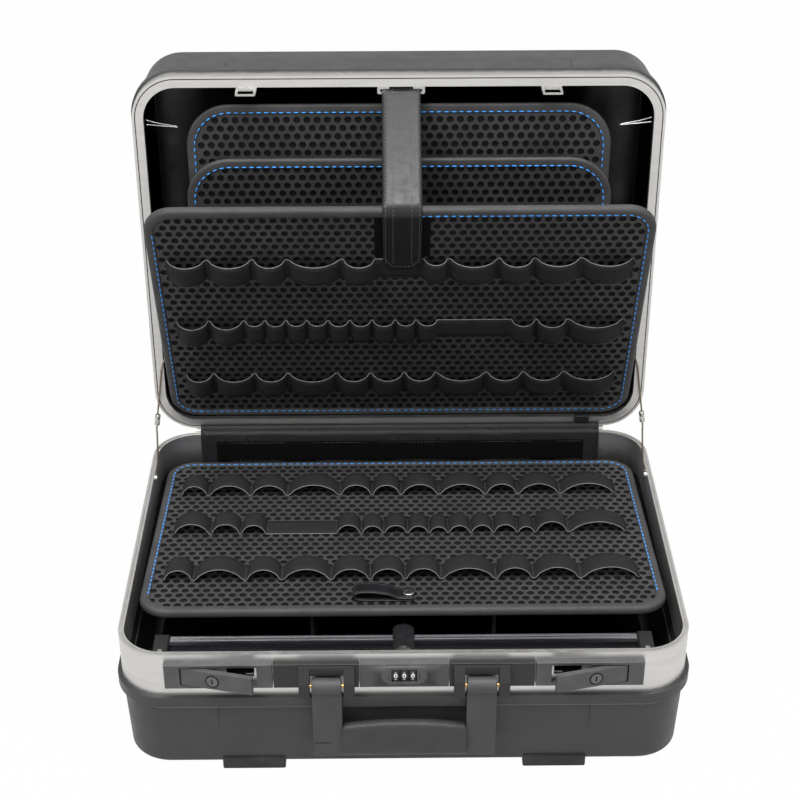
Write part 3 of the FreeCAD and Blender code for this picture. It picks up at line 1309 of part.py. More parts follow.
def base_pieces():
    """The tub, its frame and all that is fixed to them."""
    plate = latch_plate()
    bracket = handle_bracket()
    lever_pin_left = lever_pin(0, PIN_SEAT_DEPTH)
    pin = handle_pin(0)
    screw = stay_screw()
    stay = lid_stay()
    return {
        "base_shell": [base_shell()],
        "base_frame": [base_frame()],
        "feet": feet(),
        "left_latch_plate": [plate],
        "right_latch_plate": [mirrored(plate)],
        "left_handle_bracket": [bracket],
        "right_handle_bracket": [mirrored(bracket)],
        "combination_lock_plate": [lock_plate()],
        "front_pins": [lever_pin_left, mirrored(lever_pin_left), pin, mirrored(pin),
                       dial_axle(0)],
        "hinge_base_leaf": [hinge_leaf(0, False)],
        "hinge_base_rivets": leaf_rivets(RIM_Z - BASE_LEAF_H * BASE_RIVET_SHARE),
        "hinge_pin": [rod(AXIS_X, HINGE_PIN_R, Vector(-HINGE_HALF_L, HINGE_Y, RIM_Z),
                          2 * HINGE_HALF_L)],
        "front_rail": [front_rail()],
        "rail_holders": rail_holders(),
        "holder_screws": holder_screws(),
        "rail_tab": [rail_tab()],
        "rail_snap": [rail_snap()],
        "front_panel": [front_panel()],
        "cross_dividers": cross_dividers(),
        "board_ledge": [board_ledge()],
        "floor_mat": [floor_mat()],
        "hinge_cover": [hinge_cover()],
        "hook_loop_strip": [hook_loop_strip()],
        "stay_screws": [screw, mirrored(screw)],
        "left_lid_stay": stay,
        "right_lid_stay": [mirrored(piece) for piece in stay],
    }


def moving_pieces():
    """The handle, the levers with their locks and hooks, and the dials."""
    bar = lever()
    barrel = key_barrel()
    steel = hook()
    pieces = {
        "handle_frame": [handle_frame()],
        "handle_grip": [handle_grip()],
        "left_latch_lever": [bar],
        "right_latch_lever": [mirrored(bar)],
        "left_key_barrel": [barrel],
        "right_key_barrel": [mirrored(barrel)],
        "left_latch_hook": [steel],
        "right_latch_hook": [mirrored(steel)],
    }
    for name, x in (("left", -DIAL_PITCH), ("middle", 0), ("right", DIAL_PITCH)):
        pieces[name + "_dial"] = [dial(x)]
    return pieces


def main():
    """Builds every piece, sets the origin under the middle of the open case and writes them."""
    pieces = {**base_pieces(), **moving_pieces(), **base_board_pieces(), **lid_pieces()}
    whole = Part.makeCompound([solid for group in pieces.values() for solid in group])
    bounds = whole.optimalBoundingBox(False, False)
    shift = Vector(0, -(bounds.YMin + bounds.YMax) / 2, 0)
    os.makedirs("parts", exist_ok=True)
    for name, group in pieces.items():
        shape = group[0] if len(group) == 1 else Part.makeCompound(group)
        shape.translate(shift)
        shape.exportStep("parts/" + name + ".step")
    print("nodes", len(pieces), "shift", round(shift.y, 3), "height", round(bounds.ZMax, 2))
    print("rim height", RIM_Z, "hinge", round(HINGE_Y + shift.y, 3), RIM_Z)
    print("handle pivot", round(PIVOT_Y + shift.y, 3), round(PIVOT_Z, 3))
    print("lever pin", LEVER_PIN_X, round(LEVER_Y + shift.y, 3))
    print("key axis at rest", KEY_FROM_PIN, "from the pin, height", LEVER_MID_Z)
    print("dial axis", round(DIAL_Y + shift.y, 3), round(DIAL_Z, 3))
    for name, u, v in (("front", FRONT_PIVOT_U, FRONT_PIVOT_V),
                       ("middle", BACK_PIVOT_U, MIDDLE_PIVOT_V),
                       ("rear", BACK_PIVOT_U, REAR_PIVOT_V)):
        y, z = lid_place(u, v)
        print(name, "board pivot", round(y + shift.y, 3), round(z, 3))


main()
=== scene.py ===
"""Hard tool case: the looks of every piece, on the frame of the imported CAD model."""

import json
import math
from random import Random

import bmesh
import bpy
from mathutils import Matrix, Vector


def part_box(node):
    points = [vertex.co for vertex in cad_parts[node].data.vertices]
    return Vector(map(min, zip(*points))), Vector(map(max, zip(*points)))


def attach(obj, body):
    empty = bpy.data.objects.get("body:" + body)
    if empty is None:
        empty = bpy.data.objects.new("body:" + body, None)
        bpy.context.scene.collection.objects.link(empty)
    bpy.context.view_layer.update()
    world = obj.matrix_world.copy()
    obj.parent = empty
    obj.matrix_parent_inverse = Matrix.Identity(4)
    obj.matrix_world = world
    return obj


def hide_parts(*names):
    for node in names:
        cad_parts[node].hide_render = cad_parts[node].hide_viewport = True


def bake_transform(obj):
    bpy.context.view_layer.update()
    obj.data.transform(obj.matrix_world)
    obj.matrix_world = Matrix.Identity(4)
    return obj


bl_info = {
    "name": "Hard tool case",
    "version": (1, 0, 0),
    "blender": (4, 5, 0),
    "location": "3D View > Sidebar > Tool Case",
    "description": "Builds the boards, loops, straps, stitching and finishes of a hard tool case",
    "category": "Object",
}

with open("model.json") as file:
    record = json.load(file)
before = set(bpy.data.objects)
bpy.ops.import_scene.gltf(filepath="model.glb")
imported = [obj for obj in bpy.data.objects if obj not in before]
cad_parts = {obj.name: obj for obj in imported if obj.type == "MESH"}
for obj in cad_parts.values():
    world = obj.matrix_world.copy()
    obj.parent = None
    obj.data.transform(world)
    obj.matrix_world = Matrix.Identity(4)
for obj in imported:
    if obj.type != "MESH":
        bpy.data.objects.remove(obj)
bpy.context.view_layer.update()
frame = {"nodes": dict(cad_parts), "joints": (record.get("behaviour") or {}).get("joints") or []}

# Places on the frame, in metres
HINGE = Vector(next(j for j in frame["joints"] if j["name"] == "lid_hinge")["pos_m"])
RIM_Z = HINGE.z
REAR_Y = HINGE.y + 0.001
MM = 0.001

# Sizes that the CAD source gives, in millimetres
LID_OPEN = math.radians(91)
LID_GAP = 0.4
CASE_D = 380.0
LID_INNER = 14.7
BOARD_T = 8.5
FIELD_SINK = 1.5
BACK_BOARD_T = 5.0
FIELD_Z = (BOARD_T / 2 - FIELD_SINK) * MM
BINDING_W = 9.0
LID_BOARD_W = 468
LID_BOARD_H = 292
LID_BOARD_LEAN = 21
LID_BOARD_U = 19.5
LID_BOARD_V = 8.5
BELT_EDGE = 57.0
BAND_W = 25.0
BAND_T = 1.2
BAND_RISE = 13.0
BAND_RISE_SHARE = 0.46
BAND_GAP = 0.8

# The photograph's viewpoint, found from the case's corners in it
CAMERA_PIXELS = 1754.9
CAMERA_SHIFT = 0.1271
CAMERA_YAW = -0.489
CAMERA_PITCH = 33.038
CAMERA_ROLL = -0.142
CAMERA_PLACE = (-0.0134, REAR_Y - 1.5633, RIM_Z + 0.9271)
PHOTO_PIXELS = 800
SENSOR = 36.0

# Lamps: name, place, width and height in metres, and power in watts
LAMPS = (("key", (-0.9, -1.2, 2.0), 0.9, 0.7, 27), ("fill", (1.3, -1.2, 1.5), 0.8, 0.8, 8),
         ("top", (0.1, -0.35, 2.3), 1.3, 0.7, 46), ("front", (0.0, -2.2, 0.7), 1.4, 0.5, 3.5))

# Seams of the elastic bands, as shares of half the board's field
LID_TOP = (-0.97, -0.80, -0.61, -0.47, -0.24, -0.10, 0.095, 0.20, 0.41, 0.555, 0.75, 0.97)
LID_MIDDLE = (-0.965, -0.82, -0.67, -0.58, -0.49, -0.40, -0.31, -0.215, -0.12, -0.02,
              0.07, 0.165, 0.475, 0.585, 0.72, 0.965)
LID_BOTTOM = (-0.955, -0.83, -0.645, -0.50, -0.28, -0.13, 0.02, 0.16, 0.385, 0.55, 0.73, 0.96)
BASE_REAR = (-0.96, -0.84, -0.655, -0.495, -0.265, -0.125, 0.0, 0.165, 0.37, 0.51, 0.695, 0.94)
BASE_MIDDLE = (-0.96, -0.80, -0.675, -0.565, -0.275, -0.17, -0.075, 0.025, 0.115, 0.195,
               0.29, 0.385, 0.485, 0.56, 0.70, 0.95)
BASE_FRONT = (-0.96, -0.84, -0.63, -0.485, -0.285, -0.13, 0.01, 0.155, 0.375, 0.525, 0.715, 0.955)


def linear(hex_colour):
    """An sRGB colour written as #rrggbb, as the linear RGBA that Blender's shaders take."""
    parts = [int(hex_colour[i:i + 2], 16) / 255 for i in (1, 3, 5)]
    light = [p / 12.92 if p <= 0.04045 else ((p + 0.055) / 1.055) ** 2.4 for p in parts]
    return (*light, 1.0)


def colour_property(name, description, hex_colour):
    """A colour that a user can change."""
    return bpy.props.FloatVectorProperty(name=name, description=description, subtype="COLOR",
                                         size=4, min=0, max=1, default=linear(hex_colour))


def length_property(name, description, default):
    """A length in metres that a user can change."""
    return bpy.props.FloatProperty(name=name, description=description, default=default,
                                   min=0.0, subtype="DISTANCE", unit="LENGTH", precision=4)


class ToolCaseSizes(bpy.types.PropertyGroup):
    """Sizes of the soft pieces' detail."""
    hole: length_property("Hole", "Diameter of the boards' perforations", 0.0069)
    column_pitch: length_property("Hole columns", "Distance between holes in a row", 0.0096)
    row_pitch: length_property("Hole rows", "Distance between rows of holes", 0.0083)
    sheet: length_property("Sheet", "Thickness of the perforated sheet", 0.0016)
    stitch: length_property("Stitch", "Length of one stitch on the bindings", 0.0050)
    stitch_pitch: length_property("Stitch pitch", "Distance from stitch to stitch", 0.0070)
    thread: length_property("Thread", "Thickness of the sewing thread", 0.0014)


class ToolCaseColours(bpy.types.PropertyGroup):
    """Colours of the materials."""
    shell: colour_property("Shell", "Moulded shell", "#3a3a3b")
    plate: colour_property("Plates", "Lock and latch plates", "#525253")
    sheet: colour_property("Sheet", "Perforated covering of the boards", "#414041")
    binding: colour_property("Binding", "Sewn edge of the boards", "#454445")
    elastic: colour_property("Elastic", "Woven bands", "#232223")
    leather: colour_property("Leather", "Strap and pull", "#19191b")
    thread: colour_property("Thread", "Stitching of the bindings", "#2fa2ff")
    grip: colour_property("Grip", "Handle grip", "#333334")


def add_node(tree, kind, inputs=None, **settings):
    """Adds a node, sets its properties, then links or sets each of the inputs."""
    made = tree.nodes.new(kind)
    for key, value in settings.items():
        setattr(made, key, value)
    for key, value in (inputs or {}).items():
        if isinstance(value, bpy.types.NodeSocket):
            tree.links.new(value, made.inputs[key])
        else:
            made.inputs[key].default_value = value
    return made


# Materials

class Shader:
    """One material's node tree while it is put together."""

    def __init__(self, name):
        self.material = bpy.data.materials.new(name)
        self.material.use_nodes = True
        self.tree = self.material.node_tree
        self.tree.nodes.clear()
        self.place = self.add("ShaderNodeTexCoord").outputs["Object"]
        self.height = None

    def add(self, kind, inputs=None, **settings):
        """A node of this tree."""
        return add_node(self.tree, kind, inputs, **settings)

    def stretched(self, x=1.0, y=1.0, z=1.0, source=None):
        """Object coordinates, or others, scaled per axis."""
        node = self.add("ShaderNodeMapping", {"Vector": source or self.place, "Scale": (x, y, z)})
        return node.outputs["Vector"]

    def noise(self, size, detail=2.0, rough=0.5, source=None):
        """Fractal noise whose largest features are about a size in metres."""
        node = self.add("ShaderNodeTexNoise", {"Vector": source or self.place, "Scale": 1 / size,
                                               "Detail": detail, "Roughness": rough})
        return node.outputs["Fac"]

    def cells(self, size, feature="F1", source=None):
        """Cells about a size across, as leather grain or moulded texture has."""
        node = self.add("ShaderNodeTexVoronoi", {"Vector": source or self.place, "Scale": 1 / size},
                        feature=feature)
        return node.outputs["Distance"]

    def waves(self, size, axis="X", source=None, distortion=0.0):
        """Even ribs, one per size in metres."""
        node = self.add("ShaderNodeTexWave", {"Vector": source or self.place,
                                              "Scale": math.pi / (10 * size),
                                              "Distortion": distortion},
                        bands_direction=axis, wave_type="BANDS")
        return node.outputs["Fac"]

    def spread(self, source, low, high, to_low=0.0, to_high=1.0):
        """A value from one range to another."""
        node = self.add("ShaderNodeMapRange", {"Value": source, "From Min": low, "From Max": high,
                                               "To Min": to_low, "To Max": to_high})
        return node.outputs["Result"]

    def combine(self, operation, a, b):
        """Two values joined by a sum."""
        node = self.add("ShaderNodeMath", {0: a, 1: b}, operation=operation)
        return node.outputs["Value"]

    def shade(self, factor, a, b):
        """A colour between two colours."""
        node = self.add("ShaderNodeMix", {"Factor": factor, 6: a, 7: b}, data_type="RGBA")
        return node.outputs[2]

    def bump(self, source, depth, strength=1.0):
        """Raises the surface by a depth in metres where the value is one, on earlier bumps."""
        inputs = {"Height": source, "Distance": depth, "Strength": strength}
        if self.height:
            inputs["Normal"] = self.height
        self.height = self.add("ShaderNodeBump", inputs).outputs["Normal"]

    def finish(self, colour, rough, metal=0.0, **more):
        """Closes the tree with its surface and returns the material."""
        inputs = {"Base Color": colour, "Roughness": rough, "Metallic": metal}
        if self.height:
            inputs["Normal"] = self.height
        for key, value in more.items():
            inputs[key.replace("_", " ")] = value
        surface = self.add("ShaderNodeBsdfPrincipled", inputs)
        self.add("ShaderNodeOutputMaterial", {"Surface": surface.outputs["BSDF"]})
        return self.material


def darker(colour, share):
    """A colour times a share."""
    return tuple(c * share for c in colour[:3]) + (1.0,)


def moulded_abs(colours):
    """Moulded ABS: fine spark-eroded texture, level ribs, soft sheen, a painted highlight on the
    belt edge.
    """
    s = Shader("moulded_abs")
    grain = s.cells(0.0007, "SMOOTH_F1")
    mottle = s.noise(0.05, 3)
    s.bump(s.waves(0.0024, "Z"), 0.00010, 0.5)
    s.bump(grain, 0.00008, 0.6)
    s.bump(s.noise(0.09, 2), 0.0015, 0.12)
    plain = s.shade(s.spread(mottle, 0.35, 0.65), darker(colours.shell, 0.86), colours.shell)
    # Painted highlight: a thin pale line along the belt's lower edge, where that edge would catch
    # the light.
    height = s.add("ShaderNodeSeparateXYZ", {"Vector": s.place}).outputs["Z"]
    away = s.combine("ABSOLUTE", s.combine("SUBTRACT", height, RIM_Z - BELT_EDGE * MM), 0.0)
    colour = s.shade(s.spread(away, 0.0012, 0.0009), plain, linear("#d8d8d6"))
    rough = s.spread(s.noise(0.02, 4), 0.3, 0.7, 0.36, 0.5)
    return s.finish(colour, rough, Specular_IOR_Level=0.5)


def lid_interior(colours):
    """The lid's smooth inside: the same ABS, glossier, its colour darkened to nearly black as
    painted shade.
    """
    s = Shader("smooth_abs")
    s.bump(s.noise(0.12, 2), 0.004, 0.25)
    s.bump(s.noise(0.0016, 2), 0.00003, 0.5)
    rough = s.spread(s.noise(0.03, 3), 0.3, 0.7, 0.16, 0.3)
    # The shell's colour at 7 per cent: painted shade for the inside of the lid.
    return s.finish(darker(colours.shell, 0.07), rough, Specular_IOR_Level=0.4)


def brushed_aluminium(name, hex_colour, axis_scales):
    """Satin anodised extrusion: long draw lines that streak the reflections."""
    s = Shader(name)
    lines = s.noise(0.0009, 3, 0.6, s.stretched(*axis_scales))
    wide = s.noise(0.006, 2, 0.5, s.stretched(*axis_scales))
    s.bump(lines, 0.00002, 0.3)
    base = linear(hex_colour)
    colour = s.shade(s.spread(wide, 0.3, 0.7), darker(base, 0.9), base)
    return s.finish(colour, s.spread(lines, 0.3, 0.7, 0.33, 0.44), 1.0)


def rail_metal():
    """The rail's extrusion: darker draw-lined metal, with pale bands along its crown and front
    painted on as highlights.
    """
    s = Shader("drawn_rail")
    low, high = (Vector(corner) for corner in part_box("front_rail"))
    depth = s.add("ShaderNodeSeparateXYZ", {"Vector": s.place}).outputs["Y"]
    lines = s.noise(0.0011, 3, 0.6, s.stretched(0.02, 1.0, 1.0))
    s.bump(lines, 0.00005, 0.5)
    # Painted highlights: two bands along the rail, chosen by depth, are coloured pale where the
    # rail would shine.
    rear = s.spread(depth, high.y - 0.0095, high.y - 0.0060)
    front = s.combine("MULTIPLY", s.spread(depth, low.y + 0.0060, low.y + 0.0085),
                      s.spread(depth, high.y - 0.0160, high.y - 0.0190))
    tone = s.combine("ADD", s.combine("MULTIPLY", rear, 0.75), s.combine("MULTIPLY", front, 0.42))
    colour = s.shade(tone, linear("#5c5d60"), linear("#d4d5d8"))
    return s.finish(colour, s.spread(lines, 0.3, 0.7, 0.2, 0.36), 1.0)


def plate_plastic(name, tone):
    """Painted die-casting of the locks: very fine grain, semi-matt, paler where it is rubbed."""
    s = Shader(name)
    s.bump(s.noise(0.0006, 3), 0.00005, 0.6)
    wear = s.spread(s.noise(0.013, 4), 0.45, 0.75)
    colour = s.shade(wear, darker(tone, 0.85), darker(tone, 1.12))
    return s.finish(colour, s.spread(s.noise(0.006, 3), 0.3, 0.7, 0.34, 0.48))


def handle_plastic(colours):
    """Leather-grained nylon of the handle's arms and knuckles."""
    s = Shader("handle_nylon")
    grain = s.cells(0.0013, "DISTANCE_TO_EDGE")
    s.bump(s.spread(grain, 0.0, 0.12), 0.00012, 0.7)
    s.bump(s.noise(0.0005, 2), 0.00003, 0.5)
    colour = s.shade(s.spread(s.noise(0.03, 3), 0.35, 0.65), darker(colours.plate, 0.55),
                     darker(colours.plate, 0.7))
    return s.finish(colour, s.spread(s.noise(0.004, 3), 0.3, 0.7, 0.42, 0.56))


def grip_vinyl(colours):
    """Soft vinyl grip: pebbled grain, worn smoother along its crown."""
    s = Shader("pebbled_vinyl")
    grain = s.cells(0.0016, "DISTANCE_TO_EDGE")
    s.bump(s.spread(grain, 0.0, 0.2), 0.00018, 0.8)
    s.bump(s.noise(0.012, 2), 0.0006, 0.3)
    colour = s.shade(s.spread(s.noise(0.02, 3), 0.3, 0.7), darker(colours.grip, 0.85), colours.grip)
    return s.finish(colour, s.spread(s.noise(0.008, 3), 0.3, 0.7, 0.36, 0.52))


def steel(name, hex_colour, rough=0.22):
    """Nickel-plated steel: bright, with faint handling marks."""
    s = Shader(name)
    s.bump(s.noise(0.002, 4), 0.00003, 0.4)
    base = linear(hex_colour)
    colour = s.shade(s.spread(s.noise(0.004, 4), 0.4, 0.7), darker(base, 0.82), base)
    return s.finish(colour, s.spread(s.noise(0.003, 4), 0.3, 0.7, rough, rough + 0.14), 1.0)


def rubber():
    """Matt rubber of the feet and the seal, with a dusty surface."""
    s = Shader("dusty_rubber")
    s.bump(s.noise(0.0008, 4), 0.00006, 0.6)
    dust = s.spread(s.noise(0.015, 4), 0.45, 0.8)
    return s.finish(s.shade(dust, linear("#262627"), linear("#3d3c3a")), 0.7)


def leathercloth(name, colour, grain=0.0011, depth=0.00014, low=0.42, high=0.58):
    """Grained leathercloth: pebble grain, soft creases and uneven sheen."""
    s = Shader(name)
    pebbles = s.cells(grain, "DISTANCE_TO_EDGE")
    s.bump(s.spread(pebbles, 0.0, 0.18), depth, 0.75)
    s.bump(s.noise(0.010, 3), 0.0005, 0.3)
    tint = s.shade(s.spread(s.noise(0.025, 4), 0.3, 0.7), darker(colour, 0.8), darker(colour, 1.12))
    return s.finish(tint, s.spread(s.noise(0.005, 3), 0.3, 0.7, low, high),
                    Specular_IOR_Level=0.35)


def smooth_leather(colours):
    """Smooth strap leather: shallow pores, fine creases across the bend, waxed sheen."""
    s = Shader("strap_leather")
    s.bump(s.cells(0.0007, "SMOOTH_F1"), 0.00005, 0.5)
    s.bump(s.noise(0.004, 4, 0.6, s.stretched(0.3, 1.0, 2.5)), 0.00018, 0.35)
    tint = s.shade(s.spread(s.noise(0.02, 4), 0.3, 0.7), darker(colours.leather, 0.75),
                   darker(colours.leather, 1.2))
    return s.finish(tint, s.spread(s.noise(0.006, 4), 0.3, 0.7, 0.32, 0.46),
                    Specular_IOR_Level=0.4)


def woven_elastic(colours):
    """Woven elastic: fine ribs across the band, warp lines along it, and a paler cut edge."""
    s = Shader("woven_elastic")
    place = s.add("ShaderNodeUVMap", uv_map="pattern").outputs["UV"]
    ribs = s.waves(0.0011, "X", place)
    warp = s.waves(0.0009, "Y", place, 0.6)
    weave = s.combine("ADD", s.combine("MULTIPLY", ribs, 0.55), s.combine("MULTIPLY", warp, 0.45))
    s.bump(weave, 0.00022, 0.8)
    s.bump(s.noise(0.0006, 2), 0.00005, 0.5)
    across = s.add("ShaderNodeSeparateXYZ", {"Vector": place}).outputs["Y"]
    edge = s.combine("MAXIMUM", s.spread(across, 0.0247, 0.0249), s.spread(across, 0.0003, 0.0001))
    tint = s.shade(weave, darker(colours.elastic, 0.45), darker(colours.elastic, 1.4))
    colour = s.shade(edge, tint, linear("#8c8c8e"))
    return s.finish(colour, s.spread(s.noise(0.008, 2), 0.3, 0.7, 0.7, 0.85),
                    Specular_IOR_Level=0.25)


def sewing_thread(name, colour):
    """Twisted polyester thread: tight diagonal twist and a slight lustre."""
    s = Shader(name)
    s.bump(s.waves(0.00045, "DIAGONAL"), 0.00008, 0.7)
    return s.finish(s.shade(s.noise(0.004, 2), darker(colour, 0.7), darker(colour, 1.2)), 0.45,
                    Sheen_Weight=0.2)


def pile_cloth():
    """Hook-and-loop pile: dense short loops, dull and black."""
    s = Shader("pile_cloth")
    s.bump(s.noise(0.0009, 4, 0.8), 0.0007, 0.9)
    fuzz = s.spread(s.noise(0.0012, 3), 0.4, 0.7)
    return s.finish(s.shade(fuzz, linear("#020202"), linear("#0d0d0e")), 0.95,
                    Specular_IOR_Level=0.15)


def twisted_wire():
    """Twisted steel wire, tarnished towards tan."""
    s = Shader("twisted_wire")
    place = s.add("ShaderNodeUVMap", uv_map="pattern").outputs["UV"]
    strands = s.waves(0.0012, "DIAGONAL", place)
    s.bump(strands, 0.0003, 0.9)
    colour = s.shade(strands, linear("#4a4035"), linear("#c2b49a"))
    return s.finish(colour, 0.34, 1.0)


def digit_paint():
    """White filling of the engraved digits, slightly worn."""
    s = Shader("digit_paint")
    return s.finish(s.shade(s.spread(s.noise(0.0008, 3), 0.55, 0.8), linear("#f4f4f2"),
                            linear("#b9b9b6")), 0.5)


def cut_edge():
    """The cut edge that each perforation shows, the sheet's foam core, coloured nearly black as
    painted shade inside the holes.
    """
    s = Shader("foam_cut")
    s.bump(s.noise(0.0004, 3), 0.0001, 0.6)
    # Nearly black instead of the foam's grey: painted shade for the inside of the holes.
    return s.finish(s.shade(s.noise(0.003, 3), linear("#070707"), linear("#121213")), 0.8)


def white_floor():
    """Pale floor, lifted to white for the camera with its soft shadows kept."""
    s = Shader("studio_floor")
    tint = s.shade(s.noise(0.4, 3), linear("#b4b4b4"), linear("#bababa"))
    surface = s.add("ShaderNodeBsdfPrincipled", {"Base Color": tint, "Roughness": 0.75,
                                                 "Specular IOR Level": 0.2})
    glow = s.add("ShaderNodeEmission", {"Color": (1, 1, 1, 1), "Strength": 1.0})
    path = s.add("ShaderNodeLightPath").outputs
    seen = s.combine("MULTIPLY", path["Is Camera Ray"], 0.985)
    lift = s.combine("MAXIMUM", seen, s.combine("MULTIPLY", path["Is Glossy Ray"], 0.8))
    mixed = s.add("ShaderNodeMixShader", {0: lift, 1: surface.outputs["BSDF"],
                                          2: glow.outputs["Emission"]})
    s.add("ShaderNodeOutputMaterial", {"Surface": mixed.outputs["Shader"]})
    return s.material


def material(name):
    """A material by name, made on first use from the scene's colours."""
    found = bpy.data.materials.get(name)
    if found:
        return found
    colours = bpy.context.scene.tool_case_colours
    makers = {
        "moulded_abs": lambda: moulded_abs(colours),
        "smooth_abs": lambda: lid_interior(colours),
        "brushed_frame": lambda: brushed_aluminium("brushed_frame", "#dddbd8", (0.12, 0.12, 1.0)),
        "drawn_rail": rail_metal,
        "plate_black": lambda: plate_plastic("plate_black", colours.plate),
        # The plates' plastic at 14 per cent: partly the parts' own darker black, partly painted
        # shade that darkens the handle brackets.
        "dark_and_shaded_plate": lambda: plate_plastic("dark_and_shaded_plate", darker(colours.plate, 0.14)),
        "handle_nylon": lambda: handle_plastic(colours),
        "pebbled_vinyl": lambda: grip_vinyl(colours),
        "nickel_plate": lambda: steel("nickel_plate", "#cfcfcc"),
        "brass_plate": lambda: steel("brass_plate", "#c8a268", 0.2),
        "lock_barrel": lambda: steel("lock_barrel", "#1b1b1c", 0.3),
        "barrel_zinc": lambda: steel("barrel_zinc", "#77777a", 0.3),
        "dusty_rubber": rubber,
        "perforated_sheet": lambda: leathercloth("perforated_sheet", colours.sheet, 0.0009, 0.0001,
                                                 0.34, 0.5),
        "binding": lambda: leathercloth("binding", colours.binding, 0.0013, 0.00016),
        # The board under the sheet is nearly black as painted shade, so that the holes read dark.
        "board_core": lambda: leathercloth("board_core", linear("#020202"), 0.0012, 0.0001,
                                           0.7, 0.9),
        "panel_cover": lambda: leathercloth("panel_cover", linear("#2c2c2e")),
        "cover_cloth": lambda: leathercloth("cover_cloth", linear("#29292b"), 0.0012, 0.00015,
                                            0.26, 0.4),
        "strap_leather": lambda: smooth_leather(colours),
        "woven_elastic": lambda: woven_elastic(colours),
        "blue_thread": lambda: sewing_thread("blue_thread", colours.thread),
        "dark_thread": lambda: sewing_thread("dark_thread", linear("#4a4a4d")),
        "pile_cloth": pile_cloth,
        "twisted_wire": twisted_wire,
        "digit_paint": digit_paint,
        "foam_cut": cut_edge,
        "studio_floor": white_floor,
    }
    return makers[name]()


# Mesh helpers

def piece(name, mesh, body=None, *, smooth=True, materials=()):
    """An object at the origin for a finished mesh, riding on a body."""
    mesh.name = name
    made = bpy.data.objects.new(name, mesh)
    bpy.context.scene.collection.objects.link(made)
    if materials:
        mesh.materials.clear()
        for entry in materials:
            mesh.materials.append(material(entry))
    if smooth:
        mesh.shade_smooth()
    if body:
        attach(made, body)
    return made


def facing_out(mesh):
    """Turns all faces outwards."""
    work = bmesh.new()
    work.from_mesh(mesh)
    bmesh.ops.remove_doubles(work, verts=work.verts, dist=1e-6)
    bmesh.ops.recalc_face_normals(work, faces=work.faces)
    work.to_mesh(mesh)
    work.free()
    return mesh


def mesh_from(points, faces, coordinates=None):
    """A mesh from points and faces, with pattern coordinates per point in metres."""
    mesh = bpy.data.meshes.new("mesh")
    mesh.from_pydata([tuple(p) for p in points], [], faces)
    if coordinates:
        layer = mesh.uv_layers.new(name="pattern")
        for loop in mesh.loops:
            layer.data[loop.index].uv = coordinates[loop.vertex_index]
    return mesh


def joined(meshes):
    """Several meshes as one, with each one's materials kept by slot."""
    work = bmesh.new()
    slots = []
    for mesh in meshes:
        start = len(work.faces)
        work.from_mesh(mesh)
        work.faces.ensure_lookup_table()
        for face in work.faces[start:]:
            entry = mesh.materials[face.material_index] if mesh.materials else None
            if entry not in slots:
                slots.append(entry)
            face.material_index = slots.index(entry)
        bpy.data.meshes.remove(mesh)
    whole = bpy.data.meshes.new("mesh")
    work.to_mesh(whole)
    work.free()
    for entry in slots:
        if entry:
            whole.materials.append(entry)
    return whole


def swept(rings, closed, coordinates=None):
    """A skin over rings of points. An open run is capped at its ends."""
    count = len(rings[0])
    points = [p for ring in rings for p in ring]
    faces = []
    spans = len(rings) if closed else len(rings) - 1
    for i in range(spans):
        a = i * count
        b = ((i + 1) % len(rings)) * count
        for j in range(count):
            k = (j + 1) % count
            faces.append((a + j, a + k, b + k, b + j))
    if not closed:
        faces.append(tuple(range(count)))
        faces.append(tuple(range(len(points) - count, len(points))))
    return facing_out(mesh_from(points, faces, coordinates))


def ribbon(line, outward, across, width, thickness, soft, columns=4, halves=None):
    """A flat band along a line of points, with softened edges and pattern coordinates."""
    rings = []
    coordinates = []
    run = 0.0
    inner = [(2 * i / columns - 1) for i in range(columns + 1)]
    for index, (point, out) in enumerate(zip(line, outward)):
        if index:
            run += (point - line[index - 1]).length
        half = halves[index] if halves else width / 2
        flat = max(half - soft, half * 0.2)
        top = [(-half, thickness / 2 - soft)] + [(s * flat, thickness / 2) for s in inner]
        top.append((half, thickness / 2 - soft))
        section = top + [(s, -t) for s, t in reversed(top)]
        rings.append([point + across * s + out * t for s, t in section])
        coordinates += [(run, s + width / 2) for s, _ in section]
    return swept(rings, False, coordinates)


def rounded_tip(lefts, width, corner, least):
    """Half widths of a band with a rounded tip, from the length that is left at each point."""
    halves = []
    for left in lefts:
        half = width / 2
        if left < corner:
            half -= corner - math.sqrt(max(corner ** 2 - (corner - left) ** 2, 0))
        halves.append(max(half, least))
    return halves


def normals_of(line, across):
    """The direction away from the run and from the band's width, at each point of a line."""
    found = []
    for index in range(len(line)):
        before = line[max(index - 1, 0)]
        after = line[min(index + 1, len(line) - 1)]
        found.append((after - before).cross(across).normalized())
    return found


def smoothed(points, per_run=8):
    """Points along a smooth curve through given points."""
    found = []
    padded = [2 * points[0] - points[1]] + list(points) + [2 * points[-1] - points[-2]]
    for a, b, c, d in zip(padded, padded[1:], padded[2:], padded[3:]):
        for step in range(per_run):
            t = step / per_run
            found.append(0.5 * (2 * b + (c - a) * t + (2 * a - 5 * b + 4 * c - d) * t * t
                                + (3 * b - a - 3 * c + d) * t ** 3))
    return found + [points[-1]]


def round_tube(line, radius, sides=10):
    """A round tube along a line, with pattern coordinates along and around it."""
    rings = []
    coordinates = []
    side = None
    run = 0.0
    for index in range(len(line)):
        before = line[max(index - 1, 0)]
        after = line[min(index + 1, len(line) - 1)]
        heading = (after - before).normalized()
        if side is None:
            side = heading.orthogonal().normalized()
        side = (side - heading * side.dot(heading)).normalized()
        other = heading.cross(side)
        if index:
            run += (line[index] - line[index - 1]).length
        turns = [2 * math.pi * i / sides for i in range(sides)]
        rings.append([line[index] + (side * math.cos(t) + other * math.sin(t)) * radius
                      for t in turns])
        coordinates += [(run, t * radius) for t in turns]
    return swept(rings, False, coordinates)


